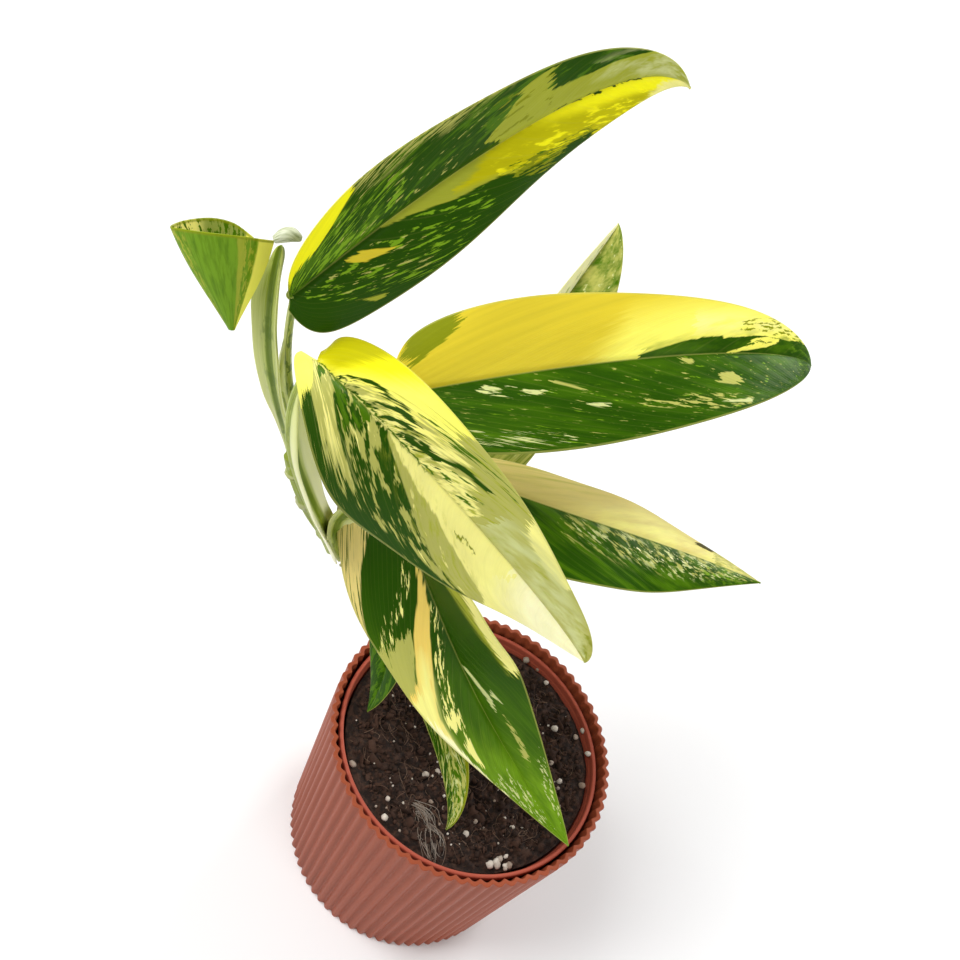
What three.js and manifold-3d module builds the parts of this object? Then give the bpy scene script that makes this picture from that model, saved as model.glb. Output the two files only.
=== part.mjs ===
// Potted variegated climbing aroid: a leaning stem with nine blades on winged petioles,
// rooted in a thin plastic grow pot that stands inside a ribbed cover pot.
// Millimetres, +Z up. The origin is the centre of the cover pot's base.
import * as THREE from "three";
import { mergeVertices } from "three/addons/utils/BufferGeometryUtils.js";
import Module from "manifold-3d";

const wasm = await Module();
wasm.setup();

// Driving dimensions of the cover pot.
const COVER = {
  height: 106.5, rimRadius: 65.4, baseRadius: 57.3, wall: 2.2, floor: 3,
  ribs: 72, ribDepth: 1.5, pointsPerRib: 4,
};

// Driving dimensions of the grow pot, which stands on the cover pot's floor.
const GROW = {
  rimTop: 103.4, rimRadius: 60.4, bodyRadius: 58.9, baseRadius: 43, wall: 1.2,
  footHeight: 3, footWidth: 3, floor: 1.6, rimRoll: 3.6, rimWidth: 1.9, rimEase: 0.7, segments: 48,
  drainHoles: 6, drainRadius: 4, drainCircle: 26, drainSides: 12,
};

// Driving dimensions of the soil: its level, the height of its lumps, the share of that height
// at the edge, how far the level climbs to its high side, and the low rise round the stem.
const SOIL = {
  level: 99.6, lump: 1.3, edgeShare: 0.3, slack: 0.3, rings: 9, segments: 40,
  climb: 1.7, highSide: [0.6, 0.8], riseAt: [-34, 15], riseHeight: 1.2, riseSpread: 12.6,
};

// The gap that neighbouring pieces keep, and the shortest edge that a cut may leave.
const GAP = 0.35;
const SLIVER = 0.06;

// A blade's thickness and its narrowest half width. Its rows lie along the midrib as the
// cosine of an angle that starts at firstRow and runs on by rowSpan, in half turns.
const BLADE = { thickness: 0.8, narrowest: 0.7, firstRow: 0.03, rowSpan: 0.955 };

// The stem: its centre line from inside the soil to the top node, and its radii.
const STEM = {
  path: [
    [-20, 12, 60], [-29, 15, 84], [-38, 15, 105], [-56, 5, 132],
    [-74, -7, 157], [-89, -20, 183], [-101, -33, 208], [-109, -41, 230], [-113, -43, 240],
  ],
  bottomRadius: 4.2, topRadius: 3.1, nodeSwell: 0.9, nodeSpread: 2.2,
  nodes: [0.22, 0.34, 0.46, 0.57, 0.68, 0.79, 0.9],
  sides: 10, steps: 44,
};

// Short stubs of aerial root on the stem: place along it, direction and length.
const ROOT_STUB = { footRadius: 1.5, tipRadius: 0.6, sides: 8, steps: 3 };
const AERIAL_ROOTS = [
  { at: 0.34, direction: [0.3, -0.9, -0.3], length: 9 },
  { at: 0.57, direction: [-0.7, -0.5, -0.5], length: 6 },
  { at: 0.79, direction: [-0.9, -0.3, -0.4], length: 5 },
];

// One entry for each leaf. base, arch and tip are the four control points of the midrib.
// face is the way the upper side looks and twist turns it from base to tip. Pairs are for the
// left and the right half, seen from above with the tip away: halfWidth, the fold up from the
// midrib, the curl down towards the margin, the outline's shoulder at the base and taper at
// the tip, and lobe, which sweeps the base corner back. wave is the height of the margin's
// wave as a share of the half width, waves is their number along the blade and phase is where
// they start. from and bend are the petiole's start on the stem and its two inner control
// points, open is the way its channel looks, wing is the sheath's greatest width, wingStart is
// the share of it at the stem, wingPeak is where it is full and wingEnd is where it stops.
const LEAVES = {
  top_long: {
    base: [-121, -68, 332], arch: [[-120, -55, 337], [-104, 53, 397]], tip: [-82, 86, 372],
    face: [0.86, -0.25, 0.45], twist: 0, halfWidth: [21.5, 25], fold: [19, 13], curl: [14, 20],
    shoulder: [0.64, 0.52], taper: [1.05, 1.21], lobe: [1, 3], wave: 0.05, waves: 2.2, phase: 0.1,
    from: [-112, -39, 236], bend: [[-118, -47, 267], [-130, -41, 268]],
    open: [-0.6, -0.6, 0.4], wing: 3.8, wingStart: 0.5, wingPeak: 0.6, wingEnd: 0.84, rows: 22, strips: 6,
  },
  centre: {
    base: [-106, -69, 318], arch: [[-93, -71, 321], [-14, -25, 248]], tip: [13, -22, 228],
    face: [-0.63, -0.5, 0.59], twist: 60, halfWidth: [19, 27.5], fold: [-1, 30], curl: [41, 8],
    shoulder: [0.31, 0.72], taper: [0.57, 1.07], lobe: [3, 6], wave: 0.04, waves: 2.6, phase: 0.3,
    from: [-90, -25, 186], bend: [[-96, -50, 236], [-115, -72, 279]],
    open: [0.7, 0.3, 0.6], wing: 7, wingStart: 0.5, wingPeak: 0.68, wingEnd: 0.9, rows: 22, strips: 6,
  },
  right_large: {
    base: [-101, -24, 268], arch: [[-74, 12, 284], [-6, 83, 318]], tip: [10, 113, 292],
    face: [0.19, -0.45, 0.87], twist: 0, halfWidth: [26, 31.5], fold: [20, 20], curl: [13, 12],
    shoulder: [0.37, 0.53], taper: [0.82, 0.91], lobe: [-10, -2], wave: 0.04, waves: 2.3, phase: 0.55,
    from: [-90, -18, 177], bend: [[-96, -12, 187], [-95, -16, 236]],
    open: [0.5, 0.7, 0.5], wing: 3.5, wingStart: 0.3, wingPeak: 0.55, wingEnd: 0.8, rows: 22, strips: 6,
  },
  right_lower: {
    base: [-88, -2, 232], arch: [[-16, 21, 240], [-2, 36, 239]], tip: [50, 74, 220],
    face: [0.15, -0.1, 0.98], twist: 2, halfWidth: [18, 27], fold: [4, 9], curl: [32, 25],
    shoulder: [0.66, 0.62], taper: [1.02, 1.0], lobe: [0, 0], wave: 0.05, waves: 2.4, phase: 0.8,
    from: [-79, -9, 163], bend: [[-84, -2, 185], [-94, -3, 212]],
    open: [0.6, 0.6, 0.5], wing: 3.6, wingStart: 0.6, wingPeak: 0.55, wingEnd: 0.8, rows: 20, strips: 6,
  },
  rear: {
    base: [-65, 14, 192], arch: [[-85, 54, 233], [-84, 97, 255]], tip: [-90, 138, 272],
    face: [0.25, -0.31, 0.92], twist: -1, halfWidth: [13.5, 25.5], fold: [67, 16], curl: [9, 17],
    shoulder: [0.5, 0.53], taper: [0.87, 0.75], lobe: [0, 0], wave: 0.05, waves: 2, phase: 0.2,
    from: [-62, 3, 140], bend: [[-66, 12, 158], [-63, 10, 178]],
    open: [0.2, 0.9, 0.4], wing: 3.5, wingStart: 0.6, wingPeak: 0.55, wingEnd: 0.8, rows: 20, strips: 6,
  },
  lower: {
    base: [-76, -19, 223], arch: [[-31, -21, 185], [-20, -24, 168]], tip: [57, -22, 126],
    face: [-0.05, -0.82, 0.56], twist: -60, halfWidth: [32, 30], fold: [28, 26], curl: [5, 5],
    shoulder: [0.29, 0.27], taper: [0.85, 0.92], lobe: [-6, 16], wave: 0.04, waves: 2.5, phase: 0.4,
    from: [-87, -20, 181], bend: [[-92, -34, 205], [-96, -38, 226]],
    open: [0.7, -0.3, 0.6], wing: 3.6, wingStart: 0.3, wingPeak: 0.55, wingEnd: 0.8, rows: 22, strips: 6,
  },
  low_left: {
    base: [-63, -6, 158], arch: [[-59, -11, 157], [-44, -20, 139]], tip: [-43, -29, 116],
    face: [-0.46, -0.47, 0.75], twist: 1, halfWidth: [11, 11], fold: [15, 12], curl: [19, 22],
    shoulder: [0.48, 0.48], taper: [0.85, 0.85], lobe: [0, 0], wave: 0.03, waves: 1.5, phase: 0,
    from: [-47, 10, 119], bend: [[-50, 2, 132], [-62, -4, 146]],
    open: [-0.2, -0.9, 0.4], wing: 1.6, wingStart: 0.6, wingPeak: 0.5, wingEnd: 0.8, rows: 14, strips: 4,
  },
  low_right: {
    base: [-43, -11, 138], arch: [[-27, -17, 143], [13, -32, 127]], tip: [14, -44, 110],
    face: [0.22, -0.49, 0.84], twist: 0, halfWidth: [8, 6], fold: [14, 15], curl: [20, 20],
    shoulder: [0.47, 0.47], taper: [0.82, 0.82], lobe: [0, 0], wave: 0.03, waves: 1.5, phase: 0.5,
    from: [-40, 14, 107], bend: [[-38, 2, 116], [-47, -6, 130]],
    open: [0.3, -0.8, 0.5], wing: 1.4, wingStart: 0.6, wingPeak: 0.5, wingEnd: 0.8, rows: 14, strips: 4,
  },
};

// The youngest blade hangs tip down, still rolled into a flat funnel. rim runs round its open
// upper end, from the petiole along the front to the far corner and back along the rear, and
// tip is the lower point with its radius.
const FUNNEL = {
  rim: [
    [-139.6, -54, 330.9], [-142, -58.7, 332.4], [-145.8, -62.9, 332.7], [-153.8, -68.4, 330.7],
    [-160, -70.8, 328.1], [-164.4, -70.8, 325.5], [-164.4, -64.6, 324.5], [-159.5, -58, 326],
    [-153.4, -55.7, 327.7], [-144.9, -57, 329.7],
  ],
  tip: [-138.7, -64.3, 298.7], tipRadius: 1, thickness: 0.6, bulge: 0.1, rows: 10, strips: 22,
  from: [-113, -42, 238], bend: [[-114, -53, 266], [-131, -59, 286]], end: [-138, -51.5, 329],
  open: [-0.3, -0.8, 0.3], wing: 4.5, wingStart: 0.2, wingPeak: 0.7, wingEnd: 0.96,
};

// The next shoot: a small pointed sheath that leans out of the youngest petiole's top.
const SHOOT = {
  foot: [-139.6, -54.2, 331.6], tip: [-134.2, -48.6, 333.4], arch: 2, radius: 2.4, sides: 8, steps: 6,
};

// The petioles' radii and the fineness of their sweep.
const PETIOLE = { bottomRadius: 2.7, topRadius: 1.7, steps: 12, wingThickness: 0.8 };

const COLOURS = {
  coverPot: 0xb5644f, growPot: 0x9c3f35, soil: 0x2b1b14, stem: 0x8f9a4e,
  petiole: 0xa9ad6a, blade: 0x2f5a14, youngBlade: 0x5f8f17, shoot: 0xc7cba8,
};

function material(colour, roughness) {
  return new THREE.MeshStandardMaterial({ color: colour, roughness, metalness: 0 });
}

function vector(point) {
  return new THREE.Vector3(point[0], point[1], point[2]);
}

function smoothstep(from, to, x) {
  const t = Math.min(1, Math.max(0, (x - from) / (to - from)));
  return t * t * (3 - 2 * t);
}

// A surface from points and triangles, as one geometry whose shared corners are one vertex.
function surface(points, triangles) {
  const geometry = new THREE.BufferGeometry();
  const numbers = points.flatMap((p) => [p.x, p.y, p.z]);
  geometry.setAttribute("position", new THREE.Float32BufferAttribute(numbers, 3));
  geometry.setIndex(triangles.flat());
  return geometry;
}

function toSolid(geometry) {
  const bare = geometry.clone();
  bare.deleteAttribute("normal");
  bare.deleteAttribute("uv");
  const merged = mergeVertices(bare, 1e-4);
  const index = merged.index.array;
  const kept = [];
  for (let t = 0; t < index.length; t += 3) {
    const [a, b, c] = [index[t], index[t + 1], index[t + 2]];
    if (a !== b && b !== c && c !== a) kept.push(a, b, c);
  }
  return new wasm.Manifold(new wasm.Mesh({
    numProp: 3,
    vertProperties: merged.attributes.position.array,
    triVerts: new Uint32Array(kept),
  }));
}

// The largest body of a solid, as a geometry: a loose scrap that a cut leaves is dropped, and
// so are edges shorter than the sliver size.
function toGeometry(solid) {
  const bodies = solid.simplify(SLIVER).decompose().sort((a, b) => b.volume() - a.volume());
  const mesh = bodies[0].getMesh();
  const geometry = new THREE.BufferGeometry();
  const step = mesh.numProp;
  const count = mesh.vertProperties.length / step;
  const positions = new Float32Array(count * 3);
  for (let i = 0; i < count; i += 1) {
    for (let k = 0; k < 3; k += 1) positions[3 * i + k] = mesh.vertProperties[step * i + k];
  }
  geometry.setAttribute("position", new THREE.BufferAttribute(positions, 3));
  geometry.setIndex(Array.from(mesh.triVerts));
  return geometry;
}

function named(name, geometry, look) {
  const tidy = geometry.index ? geometry.toNonIndexed() : geometry;
  tidy.computeVertexNormals();
  const mesh = new THREE.Mesh(tidy, look);
  mesh.name = name;
  return mesh;
}

// A closed skin through rings of equal point count, with a fan over the first and last ring.
function skinRings(rings) {
  const sides = rings[0].length;
  const points = rings.flat();
  const triangles = [];
  for (let r = 0; r + 1 < rings.length; r += 1) {
    for (let s = 0; s < sides; s += 1) {
      const a = r * sides + s;
      const b = r * sides + ((s + 1) % sides);
      triangles.push([a, b, b + sides], [a, b + sides, a + sides]);
    }
  }
  const middle = (ring) => ring.reduce((sum, p) => sum.add(p), new THREE.Vector3()).divideScalar(sides);
  const last = (rings.length - 1) * sides;
  points.push(middle(rings[0]), middle(rings[rings.length - 1]));
  for (let s = 0; s < sides; s += 1) {
    const next = (s + 1) % sides;
    triangles.push([points.length - 2, next, s], [points.length - 1, last + s, last + next]);
  }
  return surface(points, triangles);
}

// The frame that rides along a curve: tangent, the direction nearest to `up`, and the side.
function rideFrame(tangent, up) {
  const normal = up.clone().addScaledVector(tangent, -up.dot(tangent)).normalize();
  const side = new THREE.Vector3().crossVectors(tangent, normal);
  return { normal, side };
}

// The cover pot: a corrugated wall whose ribs run straight up into a scalloped rim.
function coverPot() {
  const sides = COVER.ribs * COVER.pointsPerRib;
  const ring = (radius, z, ribDepth) => Array.from({ length: sides }, (_, s) => {
    const angle = (2 * Math.PI * s) / sides;
    const rib = Math.abs(Math.cos((angle * COVER.ribs) / 2));
    const r = radius - ribDepth * (1 - rib);
    return new THREE.Vector3(r * Math.cos(angle), r * Math.sin(angle), z);
  });
  const { height, rimRadius, baseRadius, wall, floor, ribDepth } = COVER;
  const outerAt = (z) => baseRadius + ((rimRadius - baseRadius) * z) / height;
  return skinRings([
    ring(baseRadius, 0, ribDepth),
    ring(rimRadius, height, ribDepth),
    ring(rimRadius - wall, height, ribDepth),
    ring(outerAt(floor) - wall, floor, ribDepth),
  ]);
}

// The grow pot: a lathed wall with a rolled rim and a low foot, and round drain holes.
function growPot() {
  const { rimTop, rimRadius, bodyRadius, baseRadius, wall, footHeight, footWidth, floor } = GROW;
  const ease = GROW.rimEase;
  const bottom = COVER.floor + GAP;
  const rimFoot = rimTop - GROW.rimRoll;
  const rimInside = rimRadius - GROW.rimWidth;
  const underside = bottom + footHeight;
  const profile = [
    [0, underside], [baseRadius - footWidth, underside], [baseRadius - footWidth, bottom],
    [baseRadius, bottom], [bodyRadius, rimFoot - ease], [rimRadius - 0.5 * ease, rimFoot],
    [rimRadius, rimFoot + ease], [rimRadius, rimTop - ease], [rimRadius - ease, rimTop],
    [rimInside + ease, rimTop], [rimInside, rimTop - ease], [bodyRadius - wall, rimFoot - ease],
    [baseRadius - wall, underside + floor], [0, underside + floor],
  ];
  const lathe = new THREE.LatheGeometry(profile.map(([r, z]) => new THREE.Vector2(r, z)), GROW.segments);
  lathe.rotateX(Math.PI / 2);
  let pot = toSolid(lathe);
  const drillLength = 4 * (footHeight + floor);
  for (let i = 0; i < GROW.drainHoles; i += 1) {
    const angle = (2 * Math.PI * i) / GROW.drainHoles;
    const drill = new THREE.CylinderGeometry(
      GROW.drainRadius, GROW.drainRadius, drillLength, GROW.drainSides,
    );
    drill.rotateX(Math.PI / 2);
    drill.translate(GROW.drainCircle * Math.cos(angle), GROW.drainCircle * Math.sin(angle), underside);
    pot = pot.subtract(toSolid(drill));
  }
  return toGeometry(pot);
}

// Height of the soil: its level, which climbs evenly to the high side, three crossed waves of
// falling size, and a low rise round the stem.
function soilLevel(x, y) {
  const [east, north] = SOIL.highSide;
  return SOIL.level + (SOIL.climb * (x * east + y * north)) / GROW.bodyRadius;
}

function soilHeight(x, y) {
  const coarse = Math.sin(0.19 * x + 0.4) * Math.cos(0.23 * y - 0.8);
  const middle = 0.6 * Math.sin(0.47 * x + 0.31 * y + 1.3) * Math.cos(0.41 * y - 0.27 * x);
  const fine = 0.35 * Math.sin(0.93 * x - 0.5 * y) * Math.sin(0.88 * y + 0.6 * x + 0.7);
  const fromStem = Math.hypot(x - SOIL.riseAt[0], y - SOIL.riseAt[1]);
  const rise = SOIL.riseHeight * Math.exp(-((fromStem / SOIL.riseSpread) ** 2));
  return soilLevel(x, y) + SOIL.lump * (coarse + middle + fine) + rise;
}

// The soil fills the grow pot to its level, and the stem stands in a plain hole in it.
function soil(stemClearance) {
  const floorTop = COVER.floor + GAP + GROW.footHeight + GROW.floor + GAP;
  const wallTop = GROW.rimTop - GROW.rimRoll - GROW.rimEase;
  const bottom = GROW.baseRadius - GROW.wall - GAP - SOIL.slack;
  const flare = (GROW.bodyRadius - GROW.baseRadius) / (wallTop - floorTop);
  const radiusAt = (z) => bottom + flare * (z - floorTop);
  const topRadius = radiusAt(SOIL.level);
  const ring = (radius, height) => Array.from({ length: SOIL.segments }, (_, s) => {
    const angle = (2 * Math.PI * s) / SOIL.segments;
    const x = radius * Math.cos(angle);
    const y = radius * Math.sin(angle);
    return new THREE.Vector3(x, y, height(x, y));
  });
  const edge = (x, y) => {
    const level = soilLevel(x, y);
    return level + SOIL.edgeShare * (soilHeight(x, y) - level);
  };
  const rings = [ring(radiusAt(floorTop), () => floorTop), ring(topRadius, edge)];
  for (let i = SOIL.rings - 1; i > 0; i -= 1) {
    rings.push(ring((topRadius * i) / SOIL.rings, soilHeight));
  }
  return toGeometry(toSolid(skinRings(rings)).subtract(stemClearance));
}

function smoothCurve(path) {
  return new THREE.CatmullRomCurve3(path.map(vector), false, "centripetal");
}

// A tube along a smooth path whose radius is a function of the place along it.
function tube(path, radiusAt, sides, steps) {
  const curve = smoothCurve(path);
  const up = new THREE.Vector3(0.2, -1, 0.3);
  const rings = [];
  for (let i = 0; i <= steps; i += 1) {
    const u = i / steps;
    const centre = curve.getPoint(u);
    const { normal, side } = rideFrame(curve.getTangent(u), up);
    rings.push(Array.from({ length: sides }, (_, s) => {
      const angle = (2 * Math.PI * s) / sides;
      const r = radiusAt(u);
      return centre.clone()
        .addScaledVector(side, -r * Math.cos(angle))
        .addScaledVector(normal, r * Math.sin(angle));
    }));
  }
  return skinRings(rings);
}

const stemLength = smoothCurve(STEM.path).getLength();

// The stem swells at each node like a low bead: a bell curve on an even taper.
function stemRadius(u) {
  const taper = STEM.bottomRadius + (STEM.topRadius - STEM.bottomRadius) * u;
  const bell = (at) => Math.exp(-((((u - at) * stemLength) / STEM.nodeSpread) ** 2));
  const swell = STEM.nodes.reduce((sum, at) => sum + bell(at), 0);
  return taper + STEM.nodeSwell * swell;
}

// The stem with its root stubs. A positive grow makes it wider all round: the room that its
// neighbours leave for it.
function stem(grow) {
  let solid = toSolid(tube(STEM.path, (u) => stemRadius(u) + grow, STEM.sides, STEM.steps));
  const { footRadius, tipRadius, sides, steps } = ROOT_STUB;
  const radiusAt = (u) => footRadius + (tipRadius - footRadius) * u + grow;
  for (const root of AERIAL_ROOTS) {
    const foot = smoothCurve(STEM.path).getPoint(root.at);
    const tip = foot.clone().addScaledVector(vector(root.direction).normalize(), root.length + grow);
    const middle = foot.clone().lerp(tip, 0.5);
    const stub = tube([foot.toArray(), middle.toArray(), tip.toArray()], radiusAt, sides, steps);
    solid = solid.add(toSolid(stub));
  }
  return solid;
}

function leafCurve(leaf) {
  return new THREE.CubicBezierCurve3(
    vector(leaf.base), vector(leaf.arch[0]), vector(leaf.arch[1]), vector(leaf.tip),
  );
}

// Half width along a blade as a share of its greatest: u to a power times (1 - u) to another,
// scaled so that its peak is 1.
function outline(u, shoulder, taper) {
  const peak = shoulder / (shoulder + taper);
  return (u ** shoulder * (1 - u) ** taper) / (peak ** shoulder * (1 - peak) ** taper);
}

// A point of a blade's middle surface. u runs from base to tip and v from -1 at the left
// margin to 1 at the right. Across each half the surface leaves the midrib at the fold angle
// and bends down evenly by the curl angle, so it is an arc. The margin carries a sine wave.
function bladePoint(leaf, curve, u, v) {
  const tangent = curve.getTangent(u);
  const facing = rideFrame(tangent, vector(leaf.face));
  const turn = THREE.MathUtils.degToRad(leaf.twist) * (u - 0.5);
  const normal = facing.normal.multiplyScalar(Math.cos(turn)).addScaledVector(facing.side, Math.sin(turn));
  const side = new THREE.Vector3().crossVectors(tangent, normal);
  const half = v < 0 ? 0 : 1;
  const across = Math.abs(v);
  const share = outline(u, leaf.shoulder[half], leaf.taper[half]);
  const width = Math.max(leaf.halfWidth[half] * share, BLADE.narrowest);
  const fold = THREE.MathUtils.degToRad(leaf.fold[half]);
  const curl = THREE.MathUtils.degToRad(leaf.curl[half]);
  const out = (Math.sin(fold) - Math.sin(fold - curl * across)) / curl;
  const lift = (Math.cos(fold - curl * across) - Math.cos(fold)) / curl;
  const turns = leaf.waves * u + leaf.phase + 0.25 * half;
  const wave = leaf.wave * Math.sin(2 * Math.PI * turns) * across ** 2;
  return curve.getPoint(u)
    .addScaledVector(side, Math.sign(v) * width * out)
    .addScaledVector(normal, width * (lift + wave))
    .addScaledVector(tangent, -leaf.lobe[half] * across * (1 - u) ** 4);
}

// A closed thin body round a grid of middle points. Each grid point is moved half a thickness
// to either side along its own normal, both faces are split into the same triangles, and a
// strip closes the margin.
function thickGrid(grid, thickness) {
  const rows = grid.length;
  const columns = grid[0].length;
  const at = (i, j) => grid[Math.min(rows - 1, Math.max(0, i))][Math.min(columns - 1, Math.max(0, j))];
  const normalAt = (i, j) => {
    const along = at(i + 1, j).clone().sub(at(i - 1, j));
    const across = at(i, j + 1).clone().sub(at(i, j - 1));
    return along.cross(across).normalize();
  };
  const points = [];
  for (const way of [0.5, -0.5]) {
    for (let i = 0; i < rows; i += 1) {
      for (let j = 0; j < columns; j += 1) {
        points.push(at(i, j).clone().addScaledVector(normalAt(i, j), -way * thickness));
      }
    }
  }
  const top = (i, j) => i * columns + j;
  const under = (i, j) => rows * columns + top(i, j);
  const triangles = [];
  for (let i = 0; i + 1 < rows; i += 1) {
    for (let j = 0; j + 1 < columns; j += 1) {
      const [a, b, c, d] = [[i, j], [i, j + 1], [i + 1, j + 1], [i + 1, j]];
      triangles.push([top(...a), top(...b), top(...c)], [top(...a), top(...c), top(...d)]);
      triangles.push([under(...a), under(...c), under(...b)], [under(...a), under(...d), under(...c)]);
    }
  }
  const margin = [];
  for (let j = 0; j + 1 < columns; j += 1) margin.push([0, j]);
  for (let i = 0; i + 1 < rows; i += 1) margin.push([i, columns - 1]);
  for (let j = columns - 1; j > 0; j -= 1) margin.push([rows - 1, j]);
  for (let i = rows - 1; i > 0; i -= 1) margin.push([i, 0]);
  margin.forEach((here, k) => {
    const next = margin[(k + 1) % margin.length];
    triangles.push([top(...here), under(...here), under(...next)]);
    triangles.push([top(...here), under(...next), top(...next)]);
  });
  return surface(points, triangles);
}

function blade(leaf) {
  const curve = leafCurve(leaf);
  const grid = Array.from({ length: leaf.rows + 1 }, (_, i) => {
    const turn = BLADE.firstRow + (BLADE.rowSpan * i) / leaf.rows;
    const u = 0.5 - 0.5 * Math.cos(Math.PI * turn);
    return Array.from({ length: leaf.strips + 1 }, (__, j) => (
      bladePoint(leaf, curve, u, (2 * j) / leaf.strips - 1)
    ));
  });
  return toSolid(thickGrid(grid, BLADE.thickness));
}

// The young blade: straight lines run from the open rim down to a small round tip, bowed
// outwards by a half sine. The roll stays open at the seam by the petiole.
function funnelPoint(rim, middle, u, turn) {
  const outward = rim.getPoint(turn).sub(middle);
  const bow = 1 + FUNNEL.bulge * Math.sin(Math.PI * u);
  const reach = THREE.MathUtils.lerp(outward.length(), FUNNEL.tipRadius, u) * bow;
  return middle.clone().lerp(vector(FUNNEL.tip), u).addScaledVector(outward.normalize(), reach);
}

function funnel() {
  const { rows, strips } = FUNNEL;
  const rim = smoothCurve(FUNNEL.rim);
  const middle = new THREE.Vector3();
  for (const point of FUNNEL.rim) middle.addScaledVector(vector(point), 1 / FUNNEL.rim.length);
  const grid = Array.from({ length: rows + 1 }, (_, i) => (
    Array.from({ length: strips + 1 }, (__, j) => funnelPoint(rim, middle, i / rows, j / strips))
  ));
  return toSolid(thickGrid(grid, FUNNEL.thickness));
}

// A petiole: a half-round back with a shallow channel, and a thin wing on either side of the
// channel. The wings are widest near their upper end and close in a rounded lobe below the
// blade. A section's points are to the side and towards the open side, for one half of it.
function petiole(leaf, grow) {
  const bend = leaf.bend.map(vector);
  const end = vector(leaf.end ?? leaf.base);
  const curve = new THREE.CubicBezierCurve3(vector(leaf.from), bend[0], bend[1], end);
  const rings = [];
  for (let i = 0; i <= PETIOLE.steps; i += 1) {
    const u = i / PETIOLE.steps;
    const { normal, side } = rideFrame(curve.getTangent(u), vector(leaf.open));
    const r = PETIOLE.bottomRadius + (PETIOLE.topRadius - PETIOLE.bottomRadius) * u + grow;
    const opening = leaf.wingStart + (1 - leaf.wingStart) * smoothstep(0, leaf.wingPeak, u);
    const spread = leaf.wing * opening * (1 - smoothstep(leaf.wingPeak, leaf.wingEnd, u));
    const thin = PETIOLE.wingThickness / 2 + grow;
    const section = [
      [0, -r], [0.7 * r, -0.72 * r], [r, -0.1 * r], [r + spread, 0.2 * r + 0.5 * spread - thin],
      [r + 0.97 * spread, 0.2 * r + 0.5 * spread + thin], [0.72 * r, 0.5 * r + grow], [0, 0.15 * r + grow],
    ];
    const mirrored = section.slice(1, 6).reverse().map(([x, y]) => [-x, y]);
    rings.push([...section, ...mirrored].map(([x, y]) => (
      curve.getPoint(u).addScaledVector(side, -x).addScaledVector(normal, y)
    )));
  }
  return toSolid(skinRings(rings));
}

// The shoot: a spindle that is round in section and comes to a blunt point.
function shoot() {
  const foot = vector(SHOOT.foot);
  const tip = vector(SHOOT.tip);
  const middle = foot.clone().lerp(tip, 0.5).add(new THREE.Vector3(0, 0, SHOOT.arch));
  const radiusAt = (u) => SHOOT.radius * (0.35 + 0.65 * Math.sin(Math.PI * (0.12 + 0.8 * u)));
  return tube([SHOOT.foot, middle.toArray(), SHOOT.tip], radiusAt, SHOOT.sides, SHOOT.steps);
}

const plant = new THREE.Group();
const clearance = stem(GAP);

plant.add(named("cover_pot", coverPot(), material(COLOURS.coverPot, 0.45)));
plant.add(named("grow_pot", growPot(), material(COLOURS.growPot, 0.5)));
plant.add(named("soil", soil(clearance), material(COLOURS.soil, 0.95)));
plant.add(named("stem", toGeometry(stem(0)), material(COLOURS.stem, 0.5)));

const petioles = [...Object.entries(LEAVES), ["youngest", FUNNEL]];
let taken = clearance;
for (const [name, leaf] of petioles) {
  const body = petiole(leaf, 0).subtract(taken);
  plant.add(named(`petiole_${name}`, toGeometry(body), material(COLOURS.petiole, 0.5)));
  taken = taken.add(petiole(leaf, GAP));
}
for (const [name, leaf] of Object.entries(LEAVES)) {
  const cut = blade(leaf).subtract(petiole(leaf, GAP));
  plant.add(named(`blade_${name}`, toGeometry(cut), material(COLOURS.blade, 0.35)));
}
const rolled = toGeometry(funnel().subtract(taken));
plant.add(named("blade_youngest", rolled, material(COLOURS.youngBlade, 0.35)));
const sheath = toGeometry(toSolid(shoot()).subtract(taken));
plant.add(named("shoot", sheath, material(COLOURS.shoot, 0.4)));

export default plant;
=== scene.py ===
"""Dresses the potted variegated monstera: glossy painted blades, winged petioles, pots and soil.

Lengths are millimetres until mesh_object() turns them into metres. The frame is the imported
model's: +Z up, with its origin at the centre of the cover pot's base.
"""
import math
from statistics import NormalDist

import bpy
import numpy as np
from bpy.props import FloatProperty, FloatVectorProperty, IntProperty, PointerProperty
from bpy.types import Operator, Panel, PropertyGroup
from mathutils import Matrix, Vector


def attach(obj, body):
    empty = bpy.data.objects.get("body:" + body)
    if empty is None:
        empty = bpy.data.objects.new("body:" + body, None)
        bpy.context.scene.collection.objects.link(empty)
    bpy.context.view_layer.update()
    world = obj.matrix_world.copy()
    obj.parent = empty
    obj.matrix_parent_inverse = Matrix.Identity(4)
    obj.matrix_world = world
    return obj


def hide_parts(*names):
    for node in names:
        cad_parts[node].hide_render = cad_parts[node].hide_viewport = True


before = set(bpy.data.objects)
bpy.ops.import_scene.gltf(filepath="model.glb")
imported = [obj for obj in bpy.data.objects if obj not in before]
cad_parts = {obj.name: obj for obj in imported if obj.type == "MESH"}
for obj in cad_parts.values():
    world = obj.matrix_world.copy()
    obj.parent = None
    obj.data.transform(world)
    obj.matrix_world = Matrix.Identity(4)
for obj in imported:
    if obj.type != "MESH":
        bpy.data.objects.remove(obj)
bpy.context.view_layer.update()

bl_info = {
    "name": "Potted variegated monstera",
    "version": (1, 0, 0),
    "blender": (4, 5, 0),
    "location": "3D View > Sidebar > Monstera",
    "description": "Builds the finished surfaces of a potted variegated climbing aroid",
    "category": "Object",
}

BODY = "root"
MM = 0.001

# The steps of each surface's grid, along it and across it.
BLADE_GRID, SMALL_BLADE_GRID, ROLLED_GRID = (260, 90), (150, 40), (120, 160)
SOIL_GRID = (110, 300)
PETIOLE_STEPS = 150
STEPS_PER_RIB = 10
GROW_POT_SIDES = 240
SHOOT_STEPS = 40

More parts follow.
